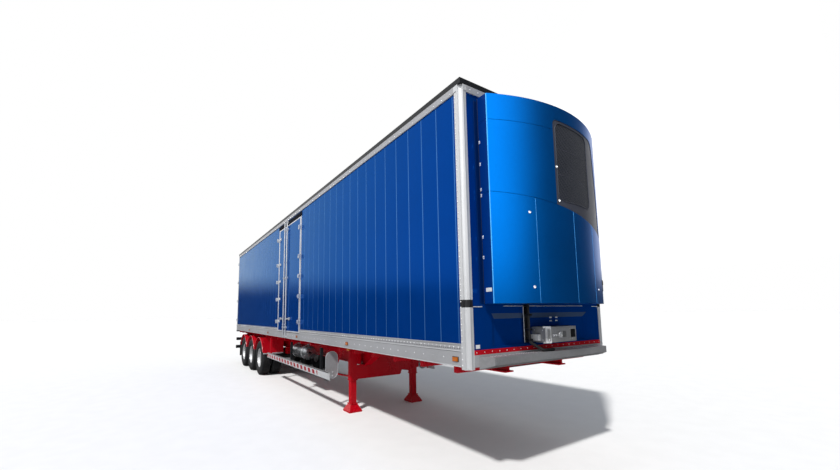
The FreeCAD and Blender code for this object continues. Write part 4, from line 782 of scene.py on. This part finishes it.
def body_rivets():
    """Rows of rivets on the corner posts, rails, roof edge, kick strip and step."""
    form = Form()
    ahead = 7.4
    post, rail, top = (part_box(node)[0] for node in ("corner_posts", "bottom_rails", "top_rails"))
    rail_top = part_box("bottom_rails")[1].z
    for side in SIDES:
        y, way = side * 1.6, -side * Y
        form.stud_row("corner_posts", (post.x + 0.012, y, 1.3), 2, 4.22, 0.06, way)
        form.stud_row("corner_posts", (ahead, side * 1.15, 1.32), 2, 4.2, 0.06, -X)
        form.stud_row("bottom_rails", (rail.x + 0.05, y, rail_top - 0.038), 0, 6.68, 0.075, way)
        form.stud_row("bottom_rails", (rail.x + 0.1, y, rail.z + 0.085), 0, 6.62, 0.19, way,
                      0.008, 0.004)
        form.stud_row("top_rails", (top.x + 0.1, y, top.z + 0.024), 0, 6.66, 0.15, way)
    form.stud_row("top_rails", (ahead, -1.1, top.z + 0.04), 1, 1.1, 0.12, -X)
    low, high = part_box("kick_strip")
    form.stud_row("kick_strip", (ahead, low.y + 0.03, (low.z + high.z) / 2), 1, high.y - 0.03,
                  0.115, -X, 0.0065, 0.003)
    low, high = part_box("front_step")
    for back, shift in ((0.045, 0.0), (0.085, 0.02)):
        form.stud_row("front_step", (low.x + back, low.y + 0.08 + shift, 2.0), 1,
                      high.y - 0.1 + shift, 0.04, -Z, 0.007, 0.0028)
    form.piece("body_rivets", "rivet_bright", "rail_silver")


# Cooling unit

UNIT_FRONT, UNIT_EDGE, UNIT_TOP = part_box("unit_upper_cover")[1]
UNIT_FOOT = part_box("unit_lower_cover")[0].z
BOW = 0.24
BOW_RADIUS = (UNIT_EDGE ** 2 + BOW ** 2) / (2 * BOW)


def bow(y, out=0.0):
    """How far forward the unit's bowed face lies at a distance from the middle."""
    return UNIT_FRONT - BOW_RADIUS + math.sqrt((BOW_RADIUS + out) ** 2 - y * y)


def on_bow(y, z, out=0.0):
    """A point on the bowed face, or a little out from it."""
    return Vector((bow(y, out), y, z))


def unit_highlight_beads():
    """Light blue beads along the covers' corners and foot, and over their upright seams, painted
    as highlights on the rounded corners and seams.
    """
    corners = Form()
    for side in SIDES:
        corners.tube([(UNIT_FRONT - BOW - 0.0045, side * (UNIT_EDGE - 0.0035), z)
                      for z in (UNIT_FOOT + 0.002, 2.6, 3.4, UNIT_TOP - 0.002)], 0.0065, 10)
    edge = UNIT_EDGE - 0.006
    corners.tube([on_bow(edge * (i / 12 - 1), UNIT_FOOT + 0.003, -0.004) for i in range(25)],
                 0.0032, 8)
    corners.piece("unit_corner_highlights", "unit_highlight_blue", "unit_blue")
    seams = Form()
    for y in (-0.5115, 0.0885, 0.5685):
        top = UNIT_FOOT + 0.1
        while land("unit_lower_cover", (8, y - 0.003, top), -X) and top < 3.2:
            top += 0.004
        seams.tube([on_bow(y, z, -0.0008) for z in (UNIT_FOOT + 0.004, top - 0.008)], 0.0022, 6)
    seams.piece("unit_seam_highlights", "unit_highlight_blue", "unit_blue")


def unit_locks():
    """Quarter-turn locks on the bowed face, and latches on both flanks."""
    locks = Form()
    slot_way = Vector((0, 0.3, 1))
    for node, y, z in (("unit_grille", -0.165, 3.483), ("unit_grille", -0.15, 3.087),
                       ("unit_lower_cover", -0.594, 2.908), ("unit_lower_cover", -0.579, 2.1),
                       ("unit_lower_cover", 0.69, 2.1)):
        hit = land(node, (8, y, z), -X)
        if hit:
            spot, out = hit
            locks.lathe(spot, out, [(-0.002, 0.016), (0.003, 0.016), (0.005, 0.0135),
                                    (0.0035, 0.0095), (0.0035, 0.0001)], 20)
            locks.slab(spot + out * 0.004, slot_way, out.cross(slot_way), out,
                       (0.018, 0.004, 0.004))
    for side in SIDES:
        for z in (3.7, 3.45, 3.165, 3.1, 2.64, 2.42):
            at = Vector((6.872, side * UNIT_EDGE, z))
            locks.slab(at, Z, X, Y * side, (0.034, 0.018, 0.01))
            locks.stud(at + Vector((0.004, side * 0.004, 0.006)), Y * side, 0.007, 0.006)
    locks.piece("unit_locks", "rivet_bright", "fitting_zinc")


def unit_trim():
    """A blank plate, the dark handle and hinges, the seals behind the covers, and dark navy strips
    on the wall beside the flanks as painted shade in the gap there.
    """
    plate = Form()
    plate.slab((6.93, -UNIT_EDGE, 2.075), X, Z, -Y, (0.085, 0.04, 0.003))
    plate.piece("unit_blank_plate", "rail_white", "rail_silver", bevel=0.001)
    dark, gap_shade = Form(), Form()
    handle = 1.0
    out = Vector((math.sqrt(BOW_RADIUS ** 2 - handle ** 2), handle, 0))
    for forward, z, size in ((0.001, 2.17, (0.15, 0.026, 0.01)),
                             (0.004, 2.205, (0.05, 0.016, 0.014))):
        dark.slab(on_bow(handle, z) + X * forward, Z, (0.45, -1, 0), out, size)
    for z in (4.1, 2.6):
        dark.slab((6.89, UNIT_EDGE + 0.002, z), Z, X, Y, (0.11, 0.03, 0.01))
    for side in SIDES:
        # dark navy strips on the wall beside the unit: painted shade in the gap
        gap_shade.block((6.8212, side * 1.004, UNIT_FOOT + 0.01),
                   (6.8275, side * 1.048, UNIT_TOP - 0.015))
        dark.block((6.8565, side * UNIT_EDGE, UNIT_FOOT),
                   (6.862, side * (UNIT_EDGE + 0.003), UNIT_TOP))
    dark.piece("unit_seals", "trim_black", "machine_dark", bevel=0.0012)
    gap_shade.piece("unit_gap_shade_strips", "frame_and_gap_shade_navy", "machine_dark", bevel=0.0012)


# the grille's window: its left and right ends, its foot and top, and its corners' radius
LEFT, RIGHT, FOOT, TOP, CORNER = -0.16, 0.55, 3.09, 4.02, 0.09


def in_window(a, b):
    """The places along a slanted line that lie inside the rounded window."""
    inside = []
    for i in range(61):
        y, z = (p + (q - p) * i / 60 for p, q in zip(a, b))
        dy = max(LEFT + CORNER - y, y - RIGHT + CORNER, 0)
        dz = max(FOOT + CORNER - z, z - TOP + CORNER, 0)
        if LEFT <= y <= RIGHT and FOOT <= z <= TOP and math.hypot(dy, dz) <= CORNER:
            inside.append((y, z))
    return inside


def grille_back():
    """A dark sheet over the window's whole rounded shape."""
    back = Form()
    rows = []
    for i in range(33):
        y = LEFT + 0.002 + (RIGHT - LEFT - 0.004) * i / 32
        short = max(LEFT + CORNER - y, y - RIGHT + CORNER, 0)
        inset = CORNER - math.sqrt(CORNER ** 2 - short ** 2) + 0.002
        rows.append([on_bow(y, z, -0.0118) for z in (FOOT + inset, TOP - inset)])
    back.rows(rows)
    back.piece("grille_back", "machine_dark")


def grille_wires():
    """Two crossing sets of slanted wires, each bent to the bow."""
    wires = Form()
    deep, pitch, wide, crown = -0.01, 0.026, 0.0085, 0.0012
    lean = (TOP - FOOT) * 0.62
    for slope in SIDES:
        start = LEFT - lean
        while start < RIGHT + lean:
            low_y, high_y = (start, start + lean)[::slope]
            line = in_window((low_y, FOOT), (high_y, TOP))
            if len(line) > 1:
                stops = line[::10] + ([line[-1]] if (len(line) - 1) % 10 else [])
                out = deep + (crown if slope > 0 else 0.0)
                wires.rows([[on_bow(y, z, out) + way for way in
                             (Y * (-wide / 2), X * crown, Y * (wide / 2))] for y, z in stops])
            start += pitch
    wires.piece("grille_wires", "grille_wire", "grille_dark")


def grille_frame():
    """A rounded bead round the window, and two stays across it."""
    left, right = LEFT + CORNER, RIGHT - CORNER
    foot, top = FOOT + CORNER, TOP - CORNER
    line = []
    for k, (cy, cz) in enumerate(((right, top), (left, top), (left, foot), (right, foot))):
        line += [(cy + CORNER * cos, cz + CORNER * sin)
                 for cos, sin in arc(k * math.pi / 2, (k + 1) * math.pi / 2, 8)]
    smooth = []
    for (y0, z0), (y1, z1) in zip(line, line[1:] + line[:1]):
        steps = max(int(abs(y1 - y0) / 0.06), 1)
        smooth += [(y0 + (y1 - y0) * k / steps, z0 + (z1 - z0) * k / steps) for k in range(steps)]
    bead = Form()
    bead.tube([on_bow(y, z, -0.0045) for y, z in smooth + smooth[:1]], 0.0042, 8, capped=False)
    bead.piece("grille_bead", "grille_dark")
    ribs = Form()
    for middle in (3.4, 3.71):
        rows = []
        for i in range(13):
            y = LEFT + 0.006 + (RIGHT - LEFT - 0.012) * i / 12
            rows.append([on_bow(y, middle + up, out)
                         for up, out in ((-0.006, -0.011), (0, -0.007), (0.006, -0.011))])
        ribs.rows(rows)
    ribs.piece("grille_ribs", "grille_dark")


# Front wall

def front_markers():
    """Small pale plates, the hose's channel and clips, and bright lines on the wall."""
    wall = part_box("front_wall")[1].x
    box_low, box_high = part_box("service_box")
    pale = Form()
    pale.block((wall, -1.131, 1.467), (wall + 0.003, -1.073, 1.507))
    for y in (0.15, 0.262):
        for z in (1.728, 1.768):
            pale.block((wall - 0.022, y - 0.022, z - 0.008), (wall - 0.018, y + 0.022, z + 0.008))
    pale.block((box_high.x - 0.19, box_low.y - 0.045, 1.512),
               (box_high.x - 0.085, box_low.y - 0.006, 1.582))
    pale.piece("front_markers", "rail_white", "rail_silver", bevel=0.002)
    blocks("hose_channel", "trim_black", "hose_black",
           [((wall, -0.376, 1.49), (wall + 0.006, -0.296, 1.925))], bevel=0.002)
    blocks("front_line", "trim_alloy", "rail_silver",
           [((wall, y, 1.49), (wall + 0.009, y + 0.005, 1.9)) for y in (-0.379, -0.298)]
           + [((wall, side * 1.193, 1.896), (wall + 0.004, side * 1.022, 1.906))
              for side in SIDES]
           + [((wall - 0.004, -0.7, 1.905), (wall + 0.006, 0.8, 1.911))], bevel=0.001)
    clips = Form()
    hose = -0.335
    for z in (1.806, 1.64, 1.523):
        clips.block((wall, hose - 0.036, z - 0.012), (wall + 0.064, hose + 0.034, z + 0.012))
        for side in SIDES:
            clips.stud((wall + 0.064, hose + side * 0.026, z), X, 0.005, 0.003)
    clips.piece("hose_clips", "trim_black", "hose_black", bevel=0.003)


def service_box():
    """Raised panels, an end plate, couplings, bolts and a vent on the service box."""
    low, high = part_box("service_box")
    front, height = high.x, (low.z + high.z) / 2
    trim = Form()
    for left, right in ((low.y + 0.02, high.y - 0.11), (high.y - 0.095, high.y - 0.02)):
        trim.block((front - 0.002, left, low.z + 0.018), (front + 0.003, right, high.z - 0.018))
    trim.block((low.x + 0.02, low.y - 0.005, low.z + 0.01),
               (front - 0.02, low.y + 0.001, high.z - 0.012))
    for share in (0.1, 0.5, 0.9):
        y = low.y + (high.y - low.y) * share
        trim.block((low.x + 0.03, y - 0.014, high.z - 0.001),
                   (front - 0.03, y + 0.014, high.z + 0.0035))
    trim.piece("service_box_panels", "box_grey", bevel=0.0025, segments=3)
    end = Form()
    end.slab((front - 0.024, low.y + 0.031, height), Z, (5, 6, 0), (6, -5, 0),
             (0.19, 0.09, 0.006))
    end.piece("service_box_end", "trim_alloy", "box_grey", bevel=0.002)
    bright = Form()
    middle = (low.y + high.y) / 2 - 0.04
    for y, radius in ((middle, 0.034), (middle - 0.085, 0.014), (middle - 0.125, 0.014)):
        bright.lathe((front + 0.002, y, height - 0.006), X,
                     [(0, radius), (0.008, radius), (0.011, radius * 0.9),
                      (0.011, radius * 0.72), (0.008, radius * 0.66), (0.008, 0.0001)], 24)
    for y in (low.y + 0.034, high.y - 0.124, high.y - 0.082, high.y - 0.033):
        for z in (low.z + 0.03, high.z - 0.03):
            bright.stud((front + 0.003, y, z), X, 0.0055, 0.0035)
    for x, z in ((6.85, 1.52), (6.96, 1.52), (6.85, 1.63), (6.96, 1.63)):
        bright.stud((x, low.y - 0.005, z), -Y, 0.006, 0.004)
    bright.piece("service_box_bright", "rivet_bright", "fitting_zinc")
    dark = Form()
    dark.block((front + 0.001, high.y - 0.112, low.z + 0.045),
               (front + 0.006, high.y - 0.026, high.z - 0.034))
    for k in range(4):
        y = middle + 0.055 + 0.016 * k
        dark.block((front + 0.001, y, low.z + 0.05), (front + 0.0045, y + 0.007, high.z - 0.05))
    dark.block((low.x + 0.055, low.y + 0.05, high.z + 0.0005),
               (front - 0.055, high.y - 0.05, high.z + 0.0055))
    dark.piece("service_box_dark", "trim_black", bevel=0.0015)


# Doors

ROD = {"front": 0.192, "rear": -0.02}
PIN = {"front": 1.251, "rear": -0.669}


def leaf(door, word, along, margins, seal, pins, way, rods, collars, radius, steps):
    """A leaf's edge trims, seals, hinge rivets and rod collars.

    along is the leaf's own direction, 0 for x and 1 for y; margins are the trims' widths at
    its low and high end, foot and top; seal is how far one reaches out from the edge, and
    the depths between which it lies.
    """
    low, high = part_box("%s_door_%s" % (door, word))
    start, stop = low[along], high[along]
    left, right, foot, top = margins

    def at(place, out, z):
        """A point by its place along the leaf and how far it stands out from its face."""
        return (place, low.y - out, z) if along == 0 else (low.x - out, place, z)

    def piece(form, kind, paint, slot=None, **more):
        form.piece("%s_door_%s_%s" % (door, kind, word), paint, slot,
                   "%s_door_%s_leaf" % (door, word), **more)

    trim, strip, studs = Form(), Form(), Form()
    for a, b in ((start, start + left), (stop - right, stop)):
        trim.block(at(a, 0.004, low.z), at(b, -0.001, high.z))
    for a, b in ((low.z, low.z + foot), (high.z - top, high.z)):
        trim.block(at(start + left, 0.0035, a), at(stop - right, -0.001, b))
    piece(trim, "trim", "trim_alloy", "rail_silver", bevel=0.0012)
    reach, near, far = seal
    for a, b in ((start - reach, start), (stop, stop + reach)):
        strip.block(at(a, -near, low.z), at(b, -far, high.z))
    piece(strip, "seal", "trim_black")
    studs.studs_on("%s_door_%s_fittings" % (door, word), pins, way)
    for rod in rods:
        for out, z in collars:
            studs.collar(at(rod, out, z), radius, steps)
    piece(studs, "studs", "fitting_zinc")


def side_leaves():
    """The unequal pair in the right side, hinged at their outer ends."""
    meeting, hinged = 0.02, 0.052
    for word, way, ends in (("front", -1, (meeting, hinged)), ("rear", 1, (hinged, meeting))):
        pins = [(PIN[word] + way * along, -2, z) for z in (1.7, 2.283, 2.745, 3.203, 3.893)
                for along in (0.085, 0.13, 0.18)]
        leaf("side", word, 0, (*ends, 0.028, 0.024), (0.007, 0.012, 0.02), pins, Y, [ROD[word]],
             [(0.03, z) for z in (1.47, 1.62, 2.36, 3.2, 4.02)], 0.0165, 20)


def rear_leaves():
    """The rear pair, with two lock rods on each."""
    wide = 0.022
    for side, word in SIDE_WORDS:
        pins = [(-9, side * y, z) for z in (1.7, 2.47, 3.24, 4.01)
                for y in (1.155, 1.105, 1.055)]
        leaf("rear", word, 1, (wide,) * 4, (0.006, 0.01, 0.018), pins, X,
             [side * rod for rod in (0.148, 0.638)],
             [(0.02, z) for z in (1.56, 2.3, 3.3, 4.1)], 0.0135, 18)


def side_doorway():
    """The bright surround, the rods' keepers and the black sill."""
    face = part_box("side_door_front")[0].y
    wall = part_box("side_walls")[0].y
    back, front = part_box("side_door_rear")[0].x - 0.012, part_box("side_door_front")[1].x + 0.012
    blocks("side_door_surround", "trim_alloy", "rail_silver",
           [((x, wall - 0.004, 1.521), (x + 0.026, wall + 0.002, 4.15))
            for x in (back - 0.026, front)], bevel=0.001)
    keep = Form()
    for rod in ROD.values():
        for z0, z1 in ((1.3, 1.35), (4.188, 4.238)):
            keep.block((rod - 0.034, face - 0.04, z0), (rod + 0.034, face - 0.004, z1))
            for x in (rod - 0.026, rod + 0.026):
                keep.stud((x, face - 0.04, (z0 + z1) / 2), -Y, 0.006, 0.004)
    keep.piece("side_door_keepers", "fitting_zinc", bevel=0.003)
    blocks("side_door_sill", "trim_black", "trim_black",
           [((back, face - 0.002, 1.424), (front, face + 0.02, 1.434))], bevel=0.001)


def rear_lamps():
    """Round lamps in black rims, reflectors, and blank plates on the rear bars."""
    bar = -7.165
    lamps, rims, amber = Form(), Form(), Form()
    for side in SIDES:
        for y, form in ((1.155, lamps), (0.995, lamps), (0.835, amber)):
            at = (bar, side * y, 0.925)
            rims.lathe(at, -X, [(0, 0.058), (0.006, 0.058), (0.008, 0.054), (0.008, 0.048)], 32)
            form.lathe(at, -X, [(0.002, 0.05), (0.009, 0.048), (0.014, 0.036),
                                (0.016, 0.018), (0.016, 0.0001)], 32)
        lamps.block((bar - 0.004, side * 0.505, 0.905), (bar + 0.001, side * 0.595, 0.945))
    lamps.piece("rear_lamps_red", "lamp_red", "lamp_amber")
    amber.piece("rear_lamps_amber", "lamp_amber")
    rims.piece("rear_lamp_rims", "trim_black")
    blocks("rear_blank_plates", "rail_white", "rail_silver",
           [((bar - 0.004, -half, foot), (bar + 0.0005, half, top))
            for half, foot, top in ((0.26, 0.6, 0.65), (0.17, 0.885, 0.965))], bevel=0.002)


# Rails, lamps and guards

RAIL_FRONT = 6.722
DOOR_BACK, DOOR_FRONT = -0.715, 1.297


def rail_details():
    """Slots and bright lips along the bottom rails, and the marker lamps' bases."""
    low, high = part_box("bottom_rails")
    back = low.x + 0.004
    slots, lips = Form(), Form()
    for side in SIDES:
        face = side * (high.y - 0.005)
        for x in span(low.x + 0.02, 6.7, 0.038):
            if side > 0 or not -0.7 < x < 1.29:
                slots.block((x - 0.007, face, high.z - 0.056),
                            (x + 0.007, face + side * 0.0025, high.z - 0.05))
        runs = ([(back, RAIL_FRONT)] if side > 0
                else [(back, DOOR_BACK), (DOOR_FRONT, RAIL_FRONT)])
        for x0, x1 in runs:
            lips.block((x0, face, high.z - 0.01), (x1, face + side * 0.003, high.z - 0.001))
        for z in (low.z + 0.003, 1.442):
            lips.block((back, side * high.y, z),
                       (RAIL_FRONT, side * (high.y + 0.0025), z + 0.007))
    slots.piece("rail_slots", "trim_black")
    lips.piece("rail_lips", "trim_alloy", "rail_silver", bevel=0.001)
    blocks("marker_lamp_bases", "trim_black", "trim_black",
           [((x - 0.052, side * 1.2465, 1.329), (x + 0.052, side * 1.2385, 1.385))
            for side in SIDES for x in (6.63 - 2.78 * k for k in range(5))], bevel=0.003)
    blocks("low_lamps", "lamp_amber", "lamp_amber",
           [((3.82, side * 1.205, 1.238), (3.882, side * 1.235, 1.2805)) for side in SIDES],
           bevel=0.004)


def guard_details():
    """Rims and nuts on the guards' round-ended plates, lips and nuts on the side guards."""
    low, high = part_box("guard_plates")
    half = 0.125
    radius = (high.y - 0.948) / 2 - 0.003
    rims = Form()
    for side in SIDES:
        middle = side * (high.y - half)
        line = [(middle + radius * cos, level + radius * sin)
                for level, first in ((high.z - half, 0), (low.z + half, math.pi))
                for cos, sin in arc(first, first + math.pi, 16)]
        rims.tube([(high.x, y, z) for y, z in line + line[:1]], 0.0045, 8, capped=False)
        for z in (0.68, 0.745):
            rims.nut((high.x, middle - side * 0.02, z), X, 0.011, 0.009)
    rims.piece("guard_plate_rims", "fitting_zinc")
    low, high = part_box("side_guards")
    lips = Form()
    for side in SIDES:
        for z in (low.z + 0.008, high.z - 0.008):
            out = 1.224 if side > 0 else 1.22
            lips.block((low.x, side * 1.216, z - 0.008), (high.x, side * out, z + 0.008))
        for x in (2.475, 0.435, -1.605):
            for z in (0.668, 0.735):
                lips.nut((x, side * 1.22, z), Y * side, 0.01, 0.007)
    lips.piece("side_guard_lips", "trim_alloy", "guard_white", bevel=0.002)


# Landing legs and underside

LEG_X, LEG_Y = 2.906, 0.7


def legs():
    """Each leg's flange, collar, plates, holes and bolts, and the cross panel's ribs."""
    red, dark, bolts = Form(), Form(), Form()
    for side in SIDES:
        at = Vector((LEG_X, side * LEG_Y, 0))
        for z, size in ((0.1475, (0.172, 0.152, 0.012)), (0.586, (0.15, 0.15, 0.016))):
            red.slab(at + Z * z, X, Y, Z, size)
        for way in SIDES:
            for across, out in ((Y, X), (X, Y)):
                red.slab(at + out * way * 0.067 + Z * 0.92, Z, across, out, (0.5, 0.07, 0.006))
        red.slab(at + Z * 1.232, X, Y, Z, (0.176, 0.176, 0.012))
        for z in (0.2, 0.27, 0.34, 0.41, 0.48):
            for out in (X, Y * side):
                dark.stud(at + out * 0.0455 + Z * z, out, 0.009, 0.0025)
        for x in (2.8, 3.01):
            for y in (0.6, 0.8):
                bolts.nut((x, side * y, 0.025), Z, 0.01, 0.008)
        for z in (1.02, 1.12):
            for x in (2.872, 2.94):
                bolts.nut((x, side * 0.7655, z), Y * side, 0.011, 0.009)
    for way in SIDES:
        for y in (-0.36, 0.12, 0.36):
            red.slab((2.955 + way * 0.0075, y, 0.73), Z, Y, X, (0.24, 0.03, 0.006))
    red.piece("leg_plates", "chassis_red", bevel=0.003)
    dark.piece("leg_slots", "trim_black")
    bolts.piece("leg_bolts", "chassis_red")


def underside():
    """U-bolts over the leaf springs, and the mud flaps' clamps."""
    form = Form()
    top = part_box("leaf_springs")[1].z + 0.006
    for axle in AXLES:
        low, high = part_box("tyres_%s_right" % axle)
        for y in (side * 0.495 for side in SIDES):
            for x in ((low.x + high.x) / 2 + shift for shift in (-0.055, 0.055)):
                half = [(0.043, 0.5), (0.043, top - 0.02), (0.03, top)]
                form.tube([(x, y - out, z) for out, z in half]
                          + [(x, y + out, z) for out, z in reversed(half)], 0.009, 10)
    form.piece("spring_clamps", "axle_black")
    low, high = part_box("mud_flaps")
    flaps = Form()
    for side in SIDES:
        for y in span(0.68, 1.2, 0.13):
            for x, way in ((low.x, -X), (high.x, X)):
                flaps.nut((x, side * y, high.z - 0.03), way, 0.01, 0.008)
        flaps.block((low.x - 0.003, side * 0.66, high.z - 0.05),
                    (low.x + 0.001, side * 1.22, high.z - 0.012))
    flaps.piece("flap_clamps", "fitting_zinc")


# Floor, light and camera

def floor():
    """A plain pale floor that keeps the part's shadow."""
    wide = 400
    data = bpy.data.meshes.new("studio_floor")
    data.from_pydata([(-wide, -wide, 0), (wide, -wide, 0), (wide, wide, 0), (-wide, wide, 0)],
                     [], [(0, 1, 2, 3)])
    ground = link("studio_floor", data)
    p = Paint("studio_floor")
    p.set(Base_Color=p.blend(p.patches(3, 3, 0.3, 0.7), (0.86, 0.86, 0.865), (0.88, 0.88, 0.885)),
          Roughness=0.9, Specular_IOR_Level=0.1)
    data.materials.append(p.material)
    ground.visible_glossy = False


def world():
    """White to the camera, a soft sky to the part, and a plain room to what is glossy."""
    studio = bpy.data.worlds.new("studio")
    bpy.context.scene.world = studio
    studio.use_nodes = True
    w = Nodes(studio.node_tree)
    rays = w.node("LightPath").outputs
    seen = w.calc("MAXIMUM", w.calc("MAXIMUM", rays["Is Camera Ray"], rays["Is Glossy Ray"]),
                  rays["Is Transmission Ray"])
    x, y, z = w.parts(w.node("TexCoord").outputs["Generated"])
    # gloss sees a lit wall and a dim skirting, a panel lamp ahead and a pale wall behind
    sides = w.calc("MAXIMUM", w.remap(y, 0.62, -0.05, 0.04),
                   w.times(w.remap(x, 0.2, -0.2), w.remap(y, 0.4, 0.8, 0.0, 1.2)))
    panel = w.times(w.remap(x, 0.35, 0.85, 0.0, 1.15), w.remap(y, 0.55, -0.12))
    room = w.times(w.remap(z, 0.045, 0.105, 0.04), w.calc("ADD", sides, panel))
    white = w.node("Background", {
        "Color": w.calc("MAXIMUM", room, rays["Is Camera Ray"]), "Strength": 1.0})
    soft = w.node("Background", {"Color": (0.9, 0.95, 1.0), "Strength": 0.42})
    mix = w.node("MixShader", {0: seen, 1: soft.outputs[0], 2: white.outputs[0]})
    w.node("OutputWorld", {"Surface": mix.outputs[0]})


def key_light():
    """One soft sun from the front right, high up."""
    key = bpy.data.lights.new("key", "SUN")
    key.energy = 3.3
    key.angle = math.radians(3.5)
    key.color = (1.0, 0.985, 0.96)
    lamp = link("key", key)
    lamp.rotation_mode = "QUATERNION"
    lamp.rotation_quaternion = Vector((-0.445, 0.766, -1)).to_track_quat("-Z", "Y")


def camera():
    """The photograph's viewpoint: low, off the front right-hand corner."""
    yaw, pitch, roll = 2.558899, 0.111456, -0.014851
    look = Vector((math.cos(yaw) * math.cos(pitch), math.sin(yaw) * math.cos(pitch),
                   math.sin(pitch)))
    right = look.cross(Z).normalized()
    above = right.cross(look)
    right, above = (right * math.cos(roll) + above * math.sin(roll),
                    above * math.cos(roll) - right * math.sin(roll))
    data = bpy.data.cameras.new("camera")
    data.sensor_width, data.lens = 36.0, 15.981
    data.shift_x, data.shift_y = 0.01402, 0.04406
    data.clip_end = 1000
    view = link("camera", data)
    turned = Matrix((right, above, -look)).transposed().to_4x4()
    view.matrix_world = Matrix.Translation((9.7076, -3.854, 1.8385)) @ turned
    bpy.context.scene.camera = view


for step in (wheels, mudguards, air_tank, body_rivets, unit_highlight_beads, unit_locks, unit_trim,
             grille_back, grille_wires, grille_frame, front_markers, service_box, side_leaves,
             side_doorway, rear_leaves, rear_lamps, rail_details, guard_details, legs, underside,
             floor, world, key_light, camera):
    step()
bpy.context.scene.view_settings.view_transform = "Standard"

bpy.context.view_layer.update()
